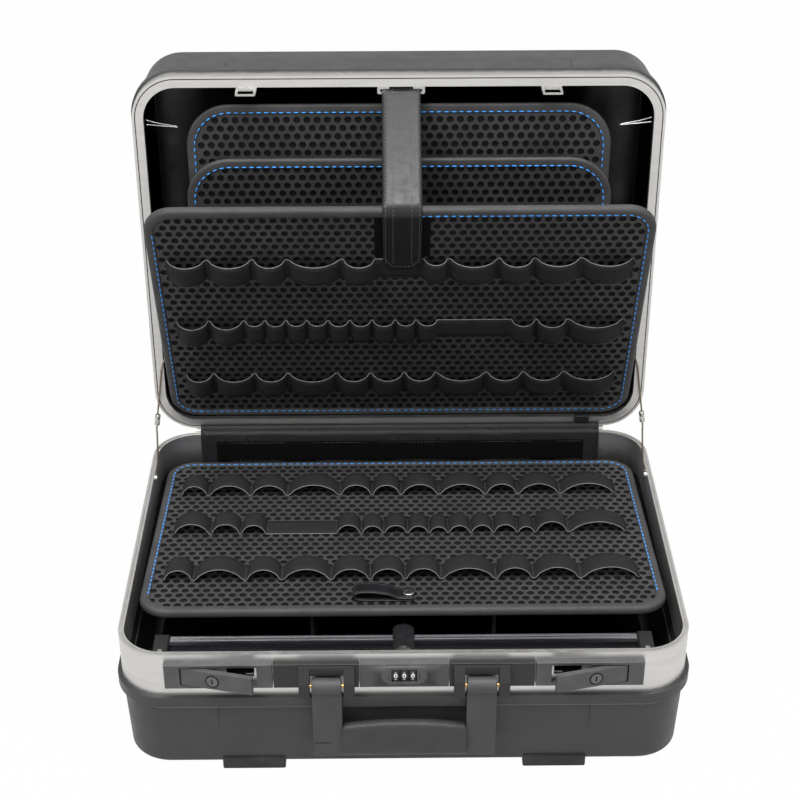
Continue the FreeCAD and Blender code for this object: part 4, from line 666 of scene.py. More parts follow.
def rounded_outline(width, height, radius, inset, turns=10, step=0.02):
    """Points round a rectangle with round corners that stands on y = 0, an inset inside it."""
    x = width / 2 - inset
    low = inset
    high = height - inset
    bend = max(radius - inset, 0.0005)
    centres = ((x - bend, high - bend, 0), (bend - x, high - bend, 1), (bend - x, low + bend, 2),
               (x - bend, low + bend, 3))
    corners = []
    for cx, cy, quarter in centres:
        for i in range(turns + 1):
            angle = math.pi / 2 * (quarter + i / turns)
            corners.append(Vector((cx + bend * math.cos(angle), cy + bend * math.sin(angle), 0)))
    full = []
    for a, b in zip(corners, corners[1:] + corners[:1]):
        count = max(1, int((b - a).length / step))
        full += [a.lerp(b, i / count) for i in range(count)]
    return full


def facing_plane(node, way):
    """The middle and the normal of a CAD piece's faces that look one way."""
    mesh = frame["nodes"][node].data
    faces = [face for face in mesh.polygons if face.normal.dot(way) > 0.9]
    total = sum(face.area for face in faces)
    centre = sum((face.center * face.area for face in faces), Vector()) / total
    normal = sum((face.normal * face.area for face in faces), Vector()).normalized()
    return centre, normal


def hoop(centre, normal, radius, tube):
    """A closed ring of round section about an axis."""
    side = normal.orthogonal().normalized()
    other = normal.cross(side)
    rings = []
    for i in range(40):
        turn = 2 * math.pi * i / 40
        away = side * math.cos(turn) + other * math.sin(turn)
        rings.append([centre + away * (radius + tube * math.cos(2 * math.pi * k / 8))
                      + normal * tube * math.sin(2 * math.pi * k / 8) for k in range(8)])
    return swept(rings, True)


# Geometry Nodes

def tree_with(name, sockets):
    """A geometry node tree with named inputs."""
    tree = bpy.data.node_groups.new(name, "GeometryNodeTree")
    tree.interface.new_socket("Geometry", in_out="INPUT", socket_type="NodeSocketGeometry")
    for label, kind, value in sockets:
        socket = tree.interface.new_socket(label, in_out="INPUT", socket_type=kind)
        if value is not None:
            socket.default_value = value
    tree.interface.new_socket("Geometry", in_out="OUTPUT", socket_type="NodeSocketGeometry")
    return tree, tree.nodes.new("NodeGroupInput").outputs


def perforated_tree():
    """A rounded sheet with staggered round holes: its curves are filled, then thickened."""
    real = "NodeSocketFloat"
    whole_number = "NodeSocketInt"
    finish = "NodeSocketMaterial"
    tree, given = tree_with("Perforated sheet", (
        ("Width", real, 0.4), ("Height", real, 0.3), ("Corner", real, 0.03), ("Hole", real, 0.006),
        ("Column pitch", real, 0.01), ("Row pitch", real, 0.0075), ("Margin", real, 0.001),
        ("Thickness", real, 0.0016), ("Columns", whole_number, 30), ("Rows", whole_number, 30),
        ("Sheet material", finish, None), ("Cut material", finish, None)))

    def node(kind, inputs=None, **settings):
        return add_node(tree, kind, inputs, **settings)

    def maths(operation, a, b):
        return node("ShaderNodeMath", {0: a, 1: b}, operation=operation).outputs["Value"]

    def vector(operation, a, b=None):
        made = node("ShaderNodeVectorMath", {0: a}, operation=operation)
        if b is not None:
            if isinstance(b, bpy.types.NodeSocket):
                tree.links.new(b, made.inputs[1])
            else:
                made.inputs[1].default_value = b
        return made

    frame_curve = node("GeometryNodeCurvePrimitiveQuadrilateral",
                       {"Width": given["Width"], "Height": given["Height"]}, mode="RECTANGLE")
    rounded = node("GeometryNodeFilletCurve",
                   {"Curve": frame_curve.outputs["Curve"], "Count": 10, "Radius": given["Corner"]},
                   mode="POLY")
    columns = maths("SUBTRACT", given["Columns"], 1.0)
    rows = maths("SUBTRACT", given["Rows"], 1.0)
    grid = node("GeometryNodeMeshGrid", {
        "Size X": maths("MULTIPLY", columns, given["Column pitch"]),
        "Size Y": maths("MULTIPLY", rows, given["Row pitch"]),
        "Vertices X": given["Columns"], "Vertices Y": given["Rows"]})
    place = node("GeometryNodeInputPosition").outputs["Position"]
    parts = node("ShaderNodeSeparateXYZ", {"Vector": place}).outputs
    row = maths("ROUND", maths("DIVIDE", parts["Y"], given["Row pitch"]), 0.0)
    odd = maths("PINGPONG", row, 1.0)
    shift = maths("MULTIPLY", odd, maths("MULTIPLY", given["Column pitch"], 0.5))
    moved = node("GeometryNodeSetPosition", {
        "Geometry": grid.outputs["Mesh"],
        "Offset": node("ShaderNodeCombineXYZ", {"X": shift}).outputs["Vector"]})
    half = node("ShaderNodeCombineXYZ", {"X": maths("MULTIPLY", given["Width"], 0.5),
                                         "Y": maths("MULTIPLY", given["Height"], 0.5),
                                         "Z": 1.0}).outputs["Vector"]
    bend = node("ShaderNodeCombineXYZ", {"X": given["Corner"], "Y": given["Corner"]})
    core = vector("SUBTRACT", half, bend.outputs["Vector"]).outputs["Vector"]
    beyond = vector("SUBTRACT", vector("ABSOLUTE", place).outputs["Vector"], core).outputs["Vector"]
    outside = vector("LENGTH", vector("MAXIMUM", beyond, (0.0, 0.0, 0.0)).outputs["Vector"])
    axes = node("ShaderNodeSeparateXYZ", {"Vector": beyond}).outputs
    inside = maths("MINIMUM", maths("MAXIMUM", axes["X"], axes["Y"]), 0.0)
    distance = maths("SUBTRACT", maths("ADD", outside.outputs["Value"], inside), given["Corner"])
    reach = maths("ADD", maths("MULTIPLY", given["Hole"], 0.5), given["Margin"])
    out = maths("GREATER_THAN", maths("ADD", distance, reach), 0.0)
    kept = node("GeometryNodeDeleteGeometry", {"Geometry": moved.outputs["Geometry"],
                                               "Selection": out}, domain="POINT")
    circle = node("GeometryNodeCurvePrimitiveCircle", {
        "Resolution": 12, "Radius": maths("MULTIPLY", given["Hole"], 0.5)}, mode="RADIUS")
    holes = node("GeometryNodeInstanceOnPoints", {"Points": kept.outputs["Geometry"],
                                                  "Instance": circle.outputs["Curve"]})
    loose = node("GeometryNodeRealizeInstances", {"Geometry": holes.outputs["Instances"]})
    lines = node("GeometryNodeJoinGeometry")
    tree.links.new(loose.outputs["Geometry"], lines.inputs["Geometry"])
    tree.links.new(rounded.outputs["Curve"], lines.inputs["Geometry"])
    fill = node("GeometryNodeFillCurve", {"Curve": lines.outputs["Geometry"]})
    low = node("GeometryNodeTransform", {
        "Geometry": fill.outputs["Mesh"],
        "Translation": node("ShaderNodeCombineXYZ", {
            "Z": maths("MULTIPLY", given["Thickness"], -1.0)}).outputs["Vector"]})
    faced = node("GeometryNodeSetMaterial", {"Geometry": low.outputs["Geometry"],
                                             "Material": given["Sheet material"]})
    raised = node("GeometryNodeExtrudeMesh", {
        "Mesh": faced.outputs["Geometry"], "Offset Scale": given["Thickness"],
        "Offset": (0.0, 0.0, 1.0), "Individual": False}, mode="FACES")
    walled = node("GeometryNodeSetMaterial", {"Geometry": raised.outputs["Mesh"],
                                              "Selection": raised.outputs["Side"],
                                              "Material": given["Cut material"]})
    under = node("GeometryNodeFlipFaces", {"Mesh": faced.outputs["Geometry"]})
    both = node("GeometryNodeJoinGeometry")
    tree.links.new(walled.outputs["Geometry"], both.inputs["Geometry"])
    tree.links.new(under.outputs["Mesh"], both.inputs["Geometry"])
    whole = node("GeometryNodeMergeByDistance", {"Geometry": both.outputs["Geometry"],
                                                 "Distance": 0.00001})
    node("NodeGroupOutput", {"Geometry": whole.outputs["Geometry"]})
    return tree


def stitch_tree():
    """A row of stitches along the edges of a mesh: one small bent bead of thread per pitch."""
    real = "NodeSocketFloat"
    tree, given = tree_with("Stitches", (
        ("Pitch", real, 0.007), ("Stitch", real, 0.0046), ("Thread", real, 0.001),
        ("Material", "NodeSocketMaterial", None), ("Seed", "NodeSocketInt", 7)))

    def node(kind, inputs=None, **settings):
        return add_node(tree, kind, inputs, **settings)

    path = node("GeometryNodeMeshToCurve", {"Mesh": given["Geometry"]})
    even = node("GeometryNodeResampleCurve", {"Curve": path.outputs["Curve"],
                                              "Length": given["Pitch"]}, mode="LENGTH")
    bead = node("GeometryNodeMeshUVSphere", {"Segments": 6, "Rings": 5, "Radius": 0.5})
    turn = node("FunctionNodeAlignRotationToVector", {
        "Vector": node("GeometryNodeInputTangent").outputs["Tangent"]}, axis="Z")
    vary = node("FunctionNodeRandomValue", {"Min": 0.9, "Max": 1.08, "Seed": given["Seed"]},
                data_type="FLOAT")
    length = node("ShaderNodeMath", {0: given["Stitch"], 1: vary.outputs[1]}, operation="MULTIPLY")
    size = node("ShaderNodeCombineXYZ", {"X": given["Thread"], "Y": given["Thread"],
                                         "Z": length.outputs["Value"]})
    beads = node("GeometryNodeInstanceOnPoints", {
        "Points": even.outputs["Curve"], "Instance": bead.outputs["Mesh"],
        "Rotation": turn.outputs["Rotation"], "Scale": size.outputs["Vector"]})
    solid = node("GeometryNodeRealizeInstances", {"Geometry": beads.outputs["Instances"]})
    dyed = node("GeometryNodeSetMaterial", {"Geometry": solid.outputs["Geometry"],
                                            "Material": given["Material"]})
    node("NodeGroupOutput", {"Geometry": dyed.outputs["Geometry"]})
    return tree


def grown(tree_name, mesh, values):
    """Runs a node tree once on a mesh and returns the plain mesh that it makes."""
    makers = {"Perforated sheet": perforated_tree, "Stitches": stitch_tree}
    tree = bpy.data.node_groups.get(tree_name) or makers[tree_name]()
    carrier = bpy.data.objects.new("carrier", mesh)
    bpy.context.scene.collection.objects.link(carrier)
    modifier = carrier.modifiers.new("grow", "NODES")
    modifier.node_group = tree
    for item in tree.interface.items_tree:
        if item.in_out == "INPUT" and item.name in values:
            modifier[item.identifier] = values[item.name]
    graph = bpy.context.evaluated_depsgraph_get()
    result = bpy.data.meshes.new_from_object(carrier.evaluated_get(graph), depsgraph=graph)
    bpy.data.objects.remove(carrier)
    bpy.data.meshes.remove(mesh)
    if not result.polygons:
        raise RuntimeError(tree_name + " made no faces")
    return result


def path_mesh(lines):
    """Edges along lines of points, for the stitches to follow."""
    points = []
    edges = []
    for line in lines:
        start = len(points)
        points += [tuple(p) for p in line]
        edges += [(i, i + 1) for i in range(start, len(points) - 1)]
    mesh = bpy.data.meshes.new("path")
    mesh.from_pydata(points, edges, [])
    return mesh


def stitches(lines, thread, pitch=None, stitch=None, thickness=None):
    """Stitches along lines, in a thread's material."""
    sizes = bpy.context.scene.tool_case_sizes
    return grown("Stitches", path_mesh(lines), {
        "Pitch": pitch or sizes.stitch_pitch, "Stitch": stitch or sizes.stitch,
        "Thread": thickness or sizes.thread, "Material": material(thread), "Seed": 7})


# Places of the boards

def lid_place(u, v):
    """The point u from the hinge line along the open lid's rim and v inside it, in millimetres."""
    y = -u * math.cos(LID_OPEN) + (v + LID_GAP) * math.sin(LID_OPEN)
    z = u * math.sin(LID_OPEN) + (v + LID_GAP) * math.cos(LID_OPEN)
    return Vector((0, HINGE.y + y * MM, HINGE.z + z * MM))


def lid_board_matrix(pivot_u, pivot_v, lean_deg, thickness):
    """Board coordinates, x right, y up the board and z out of its face, on a leaned lid board."""
    pivot = lid_place(pivot_u, pivot_v)
    lean = math.radians(lean_deg)
    up = Vector((0, -math.sin(lean), math.cos(lean)))
    out = Vector((0, -math.cos(lean), -math.sin(lean)))
    start = pivot - up * (thickness / 2)
    turned = Matrix((Vector((1, 0, 0)), up, out)).transposed().to_4x4()
    return Matrix.Translation(start) @ turned


def base_board_matrix():
    """Board coordinates on the board that lies in the base."""
    tilt = math.radians(4.5)
    up = Vector((0, math.cos(tilt), -math.sin(tilt)))
    out = Vector((0, math.sin(tilt), math.cos(tilt)))
    front = Vector((0, REAR_Y - 0.022 - 0.290 * math.cos(tilt),
                    RIM_Z - 0.024 + 0.290 * math.sin(tilt)))
    turned = Matrix((Vector((1, 0, 0)), up, out)).transposed().to_4x4()
    return Matrix.Translation(front - out * (BOARD_T / 2 * MM)) @ turned


class Board:
    """A perforated board: its size in metres, its place and the body it rides on."""

    def __init__(self, node, body, width, height, radius, thickness, sink, matrix):
        """Takes the sizes in millimetres. The field is the width that its rows share out."""
        self.node = node
        self.body = body
        self.field = width
        self.width = width * MM
        self.height = height * MM
        self.radius = radius * MM
        self.thickness = thickness * MM
        self.sink = sink * MM
        self.matrix = matrix


def boards():
    """The four boards."""
    thick = BOARD_T * MM
    thin = BACK_BOARD_T * MM
    return (
        Board("lid_front_board", "lid_front_board_body", LID_BOARD_W, LID_BOARD_H, 28, BOARD_T,
              FIELD_SINK, lid_board_matrix(LID_BOARD_U, LID_BOARD_V, LID_BOARD_LEAN, thick)),
        Board("lid_middle_board", "lid_middle_board_body", 402, 287, 42, BACK_BOARD_T, 0.8,
              lid_board_matrix(19.0, 17.5, 6, thin)),
        Board("lid_rear_board", "lid_rear_board_body", 402, 329, 42, BACK_BOARD_T, 0.8,
              lid_board_matrix(19.0, 26.0, 2, thin)),
        Board("base_board", "base_board_body", 474, 290, 28, BOARD_T, FIELD_SINK,
              base_board_matrix()),
    )


def binding_mesh(board):
    """The sewn binding: a strip folded round the board's edge, rounded outside, pulled in a little
    between its stitches."""
    random = Random(board.node)
    half = board.thickness / 2
    edge = half * 0.8
    width = BINDING_W * MM
    lip = board.sink + 0.0004
    section = [(width, half - lip), (width, half - 0.0006), (width - 0.0010, half - 0.0001),
               (width * 0.62, half), (edge, half)]
    for i in range(1, 6):
        angle = math.pi / 2 * i / 5
        section.append((edge * (1 - math.sin(angle)), half - edge + edge * math.cos(angle)))
    section += [(d, -z) for d, z in reversed(section)]
    outer = rounded_outline(board.width, board.height, board.radius, 0)
    centre = Vector((0, board.height / 2, 0))
    rings = []
    phases = [random.uniform(0, 6.28) for _ in range(3)]
    run = 0.0
    for index, point in enumerate(outer):
        before = outer[index - 1]
        after = outer[(index + 1) % len(outer)]
        along = (after - before).normalized()
        inward = Vector((-along.y, along.x, 0))
        if inward.dot(centre - point) < 0:
            inward = -inward
        run += (point - before).length
        swell = 0.00016 * (math.sin(run * 55 + phases[0]) + math.sin(run * 131 + phases[1]))
        ring = []
        for d, z in section:
            share = abs(z) / half
            ring.append(point + inward * d + Vector((0, 0, z * (1 + swell / half * share * 0.5))))
        rings.append(ring)
    return swept(rings, True)


def kept_runs(line, kept):
    """The runs of a closed line whose points are kept."""
    flags = [kept(point) for point in line]
    if all(flags):
        return [line + line[:1]]
    first = flags.index(False)
    runs = [[]]
    for step in range(len(line)):
        index = (first + step) % len(line)
        if flags[index]:
            runs[-1].append(line[index])
        elif runs[-1]:
            runs.append([])
    return [run for run in runs if len(run) > 1]


def seam_shows(board, point):
    """Whether the blue seam lies open at a point: some runs are covered by the binding's fold."""
    if board.node == "lid_front_board":
        return point.y < board.height - 0.030 or point.x > 0.018
    if board.node == "base_board":
        return point.y > 0.030
    return True


def board_objects(board):
    """Builds one board: perforated sheet, core, binding and stitching, and hides its CAD node."""
    sizes = bpy.context.scene.tool_case_sizes
    under = 0.0055
    top = board.thickness / 2 - board.sink
    width = board.width - 2 * under
    height = board.height - 2 * under
    sheet = grown("Perforated sheet", mesh_from([(0, 0, 0)], []), {
        "Width": width, "Height": height, "Corner": board.radius - under, "Hole": sizes.hole,
        "Column pitch": sizes.column_pitch, "Row pitch": sizes.row_pitch, "Margin": 0.0006,
        "Thickness": sizes.sheet, "Columns": 2 * int(width / sizes.column_pitch / 2) + 3,
        "Rows": 2 * int(height / sizes.row_pitch / 2) + 3,
        "Sheet material": material("perforated_sheet"), "Cut material": material("foam_cut")})
    sheet.transform(Matrix.Translation((0, board.height / 2, top)))
    # The core is nearly black: painted shade seen through the holes.
    core_top = top - sizes.sheet
    core_low = -board.thickness / 2 + board.sink
    outline = rounded_outline(board.width, board.height, board.radius, under + 0.0003, step=0.05)
    core = swept([[p + Vector((0, 0, z)) for p in outline] for z in (core_low, core_top - 0.00002)],
                 False)
    binding = binding_mesh(board)
    line = rounded_outline(board.width, board.height, board.radius, 0.0074, step=0.004)
    half = board.thickness / 2
    runs = kept_runs(line, lambda point: seam_shows(board, point))
    blue = stitches([[p + Vector((0, 0, side * (half - 0.0001))) for p in run]
                     for side in (1, -1) for run in runs], "blue_thread")
    made = []
    for suffix, mesh, smooth, slots in (
            ("_sheet", sheet, False, ()), ("_core", core, False, ("board_core",)),
            ("_binding", binding, True, ("binding",)), ("_stitching", blue, True, ())):
        mesh.transform(board.matrix)
        made.append(piece(board.node + suffix, mesh, board.body, smooth=smooth, materials=slots))
    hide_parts(board.node)
    return made


def band_line(shares, flat, half, random, share_of_rise):
    """Height above the board along one elastic band: arches between seams."""
    line = []
    for left, right in zip(shares, shares[1:]):
        x0 = left * half + BAND_GAP / 2
        x1 = right * half - BAND_GAP / 2
        width = x1 - x0
        base = BAND_T / 2
        if left == flat:
            line += [(x0 + width * i / 6, base) for i in range(7)]
            continue
        rise = min(BAND_RISE, BAND_RISE_SHARE * width) - BAND_T / 2 - base
        rise *= share_of_rise * random.uniform(0.94, 1.0)
        lean = random.uniform(-0.03, 0.03)
        steps = 16
        chord = width - BAND_T
        radius = (chord * chord / 4 + rise * rise) / (2 * rise)
        span = math.asin(min(1.0, chord / 2 / radius))
        if rise > chord / 2:
            span = math.pi - span
        for i in range(steps + 1):
            angle = -span + 2 * span * i / steps
            x = radius * math.sin(angle)
            z = radius * math.cos(angle) - (radius - rise)
            t = i / steps
            foot = min(t, 1 - t) / 0.10
            ease = 1 if foot > 1 else foot * foot * (3 - 2 * foot) * 0.35 + foot * 0.65
            line.append(((x0 + x1) / 2 + x * (1 + lean * z / rise), base + z * ease))
    return line


def elastic_row(name, node, board, shares, flat, top):
    """One continuous elastic band, sewn to the board between its arches, its top at a height in
    millimetres. The span that starts at the flat share lies flat."""
    half = (board.field - 2 * BINDING_W) / 2
    face_z = FIELD_Z
    seed = sum(ord(letter) for letter in name)
    rows = []
    stations = 5
    for j in range(stations):
        v = j / (stations - 1)
        rows.append(band_line(shares, flat, half, Random(seed), 0.955 + 0.045 * v))
    middle = rows[stations // 2]
    count = len(middle)
    low = top - BAND_W
    soft = 0.25
    rings = []
    coordinates = []
    run = 0.0
    for i in range(count):
        if i:
            run += math.dist(middle[i], middle[i - 1])
        before = middle[max(i - 1, 0)]
        after = middle[min(i + 1, count - 1)]
        slope = Vector((after[0] - before[0], after[1] - before[1])).normalized()
        out = Vector((-slope.y, slope.x))
        ring = []
        uv = []
        for sign in (1, -1):
            order = range(stations) if sign > 0 else range(stations - 1, -1, -1)
            for j in order:
                edge = j in (0, stations - 1)
                px, pz = rows[j][i]
                lift = (BAND_T / 2 - (soft if edge else 0)) * sign
                y = low + BAND_W * j / (stations - 1)
                ring.append(Vector(((px + out.x * lift) * MM, y * MM,
                                    (pz + out.y * lift) * MM + face_z)))
                uv.append((run * MM, BAND_W * j / (stations - 1) * MM))
        rings.append(ring)
        coordinates += uv
    mesh = swept(rings, False, coordinates)
    mesh.materials.append(material("woven_elastic"))
    seams = []
    for share in shares:
        x = share * half * MM
        seams.append([Vector((x, (low + 1.5 + k * 2.0) * MM, face_z + BAND_T * 1.02 * MM))
                      for k in range(12)])
    sewn = stitches(seams, "dark_thread", pitch=0.0032, stitch=0.0022, thickness=0.0006)
    whole = joined([mesh, sewn])
    whole.transform(board.matrix)
    made = piece(name, whole, board.body)
    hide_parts(node)
    return made


# Operators

class ToolCaseBoards(bpy.types.Operator):
    """Builds the four perforated boards with their bindings and stitching"""
    bl_idname = "tool_case.boards"
    bl_label = "Perforated boards"

    def execute(self, context):
        for board in boards():
            board_objects(board)
        return {"FINISHED"}


class ToolCaseLoops(bpy.types.Operator):
    """Builds the six rows of elastic tool loops"""
    bl_idname = "tool_case.loops"
    bl_label = "Elastic loops"

    def execute(self, context):
        lid, _, _, base = boards()
        lid_rows = (("top", LID_TOP, -0.10, 229.5), ("middle", LID_MIDDLE, 0.165, 144.962),
                    ("bottom", LID_BOTTOM, None, 66.3))
        for row, shares, flat, top in lid_rows:
            elastic_row("lid_elastic_" + row, "lid_loops_" + row, lid, shares, flat, top)
        base_rows = (("front", BASE_FRONT, None, 78.4),
                     ("middle", BASE_MIDDLE, -0.565, 163.649), ("rear", BASE_REAR, None, 241.4))
        for row, shares, flat, top in base_rows:
            elastic_row("base_elastic_" + row, "base_loops_" + row, base, shares, flat, top)
        return {"FINISHED"}


class ToolCaseStraps(bpy.types.Operator):
    """Builds the lid strap, the pull loop and the rail tab, with their stitching"""
    bl_idname = "tool_case.straps"
    bl_label = "Leather straps"

    def execute(self, context):
        self.strap_patch()
        self.lid_strap()
        self.pull_loop()
        self.rail_tab()
        return {"FINISHED"}

    def strap_patch(self):
        """The pile patch on the front board that the strap closes onto."""
        board = boards()[0]
        count = 30
        bottom = 0.2325
        top = 0.2830
        random = Random(11)
        line = [Vector((0.002, bottom + (top - bottom) * i / count,
                        FIELD_Z + 0.0004 + random.uniform(-0.00008, 0.00008)))
                for i in range(count + 1)]
        mesh = ribbon(line, [Vector((0, 0, 1))] * len(line), Vector((1, 0, 0)), 0.0515, 0.0008,
                      0.0003, 20)
        mesh.transform(board.matrix)
        made = piece("strap_patch", mesh, board.body, materials=("pile_cloth",))

    def lid_strap(self):
        """The strap from the lid's front wall over the front board's top edge."""
        thick = 2.4
        width = 36.0
        lean = math.radians(LID_BOARD_LEAN)
        stand = thick / 2 + 0.4
        top = lid_place(CASE_D - LID_INNER - 1 - stand, 1.3 + thick / 2)
        pivot = lid_place(LID_BOARD_U, LID_BOARD_V)
        up = Vector((0, -math.sin(lean), math.cos(lean)))
        out = Vector((0, -math.cos(lean), -math.sin(lean)))
        along = LID_BOARD_H - BOARD_T / 2 + stand
        knee = pivot + (up * along + out * (BOARD_T / 2 + stand)) * MM
        lap = 74.0 * MM
        start_run = (top - knee).normalized()
        bend = 0.010
        line = [top]
        steps = 14
        length = (top - knee).length - bend
        for i in range(1, steps + 1):
            t = i / steps
            sag = Vector((0, -0.0012, 0)) * math.sin(math.pi * t)
            line.append(top - start_run * (length * t) + sag * 0.5)
        a, b, c = line[-1], knee, knee - up * bend
        for i in range(1, 9):
            t = i / 8
            line.append(a * (1 - t) ** 2 + b * 2 * t * (1 - t) + c * t * t)
        runs = 22
        for i in range(1, runs + 1):
            t = (i / runs) ** 0.72
            line.append(c - up * ((lap - bend) * t))
        across = Vector((1, 0, 0))
        outs = normals_of(line, across)
        if outs[-1].dot(out) < 0:
            outs = [-o for o in outs]
        end = line[-1]
        corner = width * 0.3 * MM
        halves = rounded_tip([(point - end).length for point in line], width * MM, corner, 0.006)
        shift = Vector((0.002, 0, 0))
        line = [p + shift for p in line]
        mesh = ribbon(line, outs, across, width * MM, thick * MM, 0.0006, 8, halves)
        mesh.materials.append(material("strap_leather"))
        face = thick / 2 * MM
        rows = []
        for inset in (0.0025, 0.0095):
            for side in (1, -1):
                row = []
                for point, normal in zip(line, outs):
                    if (point - end - shift).length < corner * 0.7:
                        continue
                    row.append(point + across * side * (width / 2 * MM - inset) + normal * face)
                rows.append(row)
        tip = line[-1] + up * 0.0030
        arc = []
        for i in range(15):
            angle = math.pi * (i / 14)
            reach = width / 2 * MM - 0.0035
            rise = 1 - abs(math.cos(angle)) ** 4
            arc.append(tip + across * reach * math.cos(angle) + up * 0.008 * (1 - rise)
                       + outs[-1] * face)
        rows.append(arc)
        for back in (0.019, 0.068):
            base = top - start_run * back + shift + outs[2] * face
            rows.append([base + across * (0.0150 * (i / 6 - 1)) for i in range(13)])
        sewn = stitches(rows, "dark_thread", pitch=0.0040, stitch=0.0028, thickness=0.0007)
        made = piece("leather_strap", joined([mesh, sewn]))
        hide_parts("lid_strap")
        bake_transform(made)

    def pull_loop(self):
        """The leather loop that lifts the base board, folded on itself."""
        base = boards()[3]
        half_t = 0.0009
        x0 = -0.044
        x1 = 0.010
        mid = 0.024
        route = ((x1, half_t), (-0.012, half_t), (-0.034, half_t + 0.0003), (x0 + 0.0024, 0.0022),
                 (x0, 0.0052), (x0 + 0.0030, 0.0086), (-0.030, 0.0094), (-0.014, 0.0072),
                 (-0.004, 0.0032), (x1, 0.0030))
        line = smoothed([Vector((x, mid, FIELD_Z + rise)) for x, rise in route], 6)
        across = Vector((0, 1, 0))
        outs = normals_of(line, across)
        mesh = ribbon(line, outs, across, 0.018, 2 * half_t, 0.0004, 6)
        mesh.materials.append(material("strap_leather"))
        rows = []
        for side in (1, -1):
            for face in (1, -1):
                rows.append([p + across * side * 0.0066 + n * half_t * face
                             for p, n in zip(line, outs)])
        sewn = stitches(rows, "dark_thread", pitch=0.0032, stitch=0.0022, thickness=0.0005)
        whole = joined([mesh, sewn])
        whole.transform(base.matrix)
        made = piece("leather_pull", whole, base.body)
        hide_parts("pull_loop")

    def rail_tab(self):
        """The leather tab over the rail."""
        low, high = (Vector(corner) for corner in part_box("rail_tab"))
        thick = high.z - low.z
        width = high.x - low.x
        mid_z = (low.z + high.z) / 2
        count = 24
        line = [Vector((0, low.y + (high.y - low.y) * i / count, mid_z)) for i in range(count + 1)]
        halves = rounded_tip([high.y - point.y for point in line], width, width * 0.42, 0.001)
        mesh = ribbon(line, [Vector((0, 0, 1))] * len(line), Vector((1, 0, 0)), width, thick,
                      0.0004, 6, halves)
        made = piece("leather_tab", mesh, "base", materials=("strap_leather",))
        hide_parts("rail_tab")


class ToolCaseCover(bpy.types.Operator):
    """Builds the cloth over the hinge gap and the strip sewn on it"""
    bl_idname = "tool_case.cover"
    bl_label = "Hinge cover"

    def execute(self, context):
        low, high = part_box("hinge_cover")
        thick = 0.0012
        y_lid = REAR_Y - 0.0018
        y_base = REAR_Y - 0.0102
        route = ((y_lid, 0.0084), (y_lid - 0.0004, 0.0062), (y_lid - 0.0026, 0.0042),
                 (y_base + 0.0016, 0.0022), (y_base, -0.0020), (y_base, -0.0180),
                 (y_base, -0.0350))
        across = Vector((1, 0, 0))
        line = smoothed([Vector((0, y, RIM_Z + rise)) for y, rise in route], 6)
        outs = [-n for n in normals_of(line, across)]
        width = high[0] - low[0]
        mesh = ribbon(line, outs, across, width, thick, 0.0003, 60)
        for vertex in mesh.vertices:
            wave = math.sin(vertex.co.x * 41 + 1.3) + math.sin(vertex.co.x * 97 + vertex.co.z * 60)
            near = max(0.0, 1 - abs(vertex.co.z - RIM_Z + 0.002) / 0.006)
            vertex.co.y += 0.00025 * wave * near
        made = piece("hinge_cloth", mesh, materials=("cover_cloth",))
        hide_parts("hinge_cover")
        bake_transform(made)
        self.strip()
        return {"FINISHED"}

    def strip(self):
        """The hook-and-loop strip that is sewn on the cover."""
        low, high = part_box("hook_loop_strip")
        random = Random(5)
        count = 240
        rings = []
        height = high[2] - low[2]
        for i in range(count + 1):
            x = low[0] + (high[0] - low[0]) * i / count
            wave = 0.0002 * math.sin(x * 75) + random.uniform(-0.00012, 0.00012)
            front = low[1] + 0.0003 + wave
            ring = [Vector((x, high[1], low[2])), Vector((x, low[1] + 0.0009, low[2] + 0.0002))]
            for k in range(7):
                share = 0.04 + 0.92 * k / 6
                ring.append(Vector((x, front + random.uniform(-0.0001, 0.0001),
                                    low[2] + height * share)))
            ring += [Vector((x, low[1] + 0.0009, high[2] - 0.0002)), Vector((x, high[1], high[2]))]
            rings.append(ring)
        mesh = swept(rings, False)
        mesh.materials.append(material("pile_cloth"))
        border = []
        for z in (low[2] + 0.0012, high[2] - 0.0012):
            border.append([Vector((low[0] + 0.002 + i * 0.004, low[1] + 0.0004, z))
                           for i in range(int((high[0] - low[0] - 0.004) / 0.004) + 1)])
        sewn = stitches(border, "dark_thread", pitch=0.0036, stitch=0.0026, thickness=0.0006)
        made = piece("pile_strip", joined([mesh, sewn]), "base")
        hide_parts("hook_loop_strip")


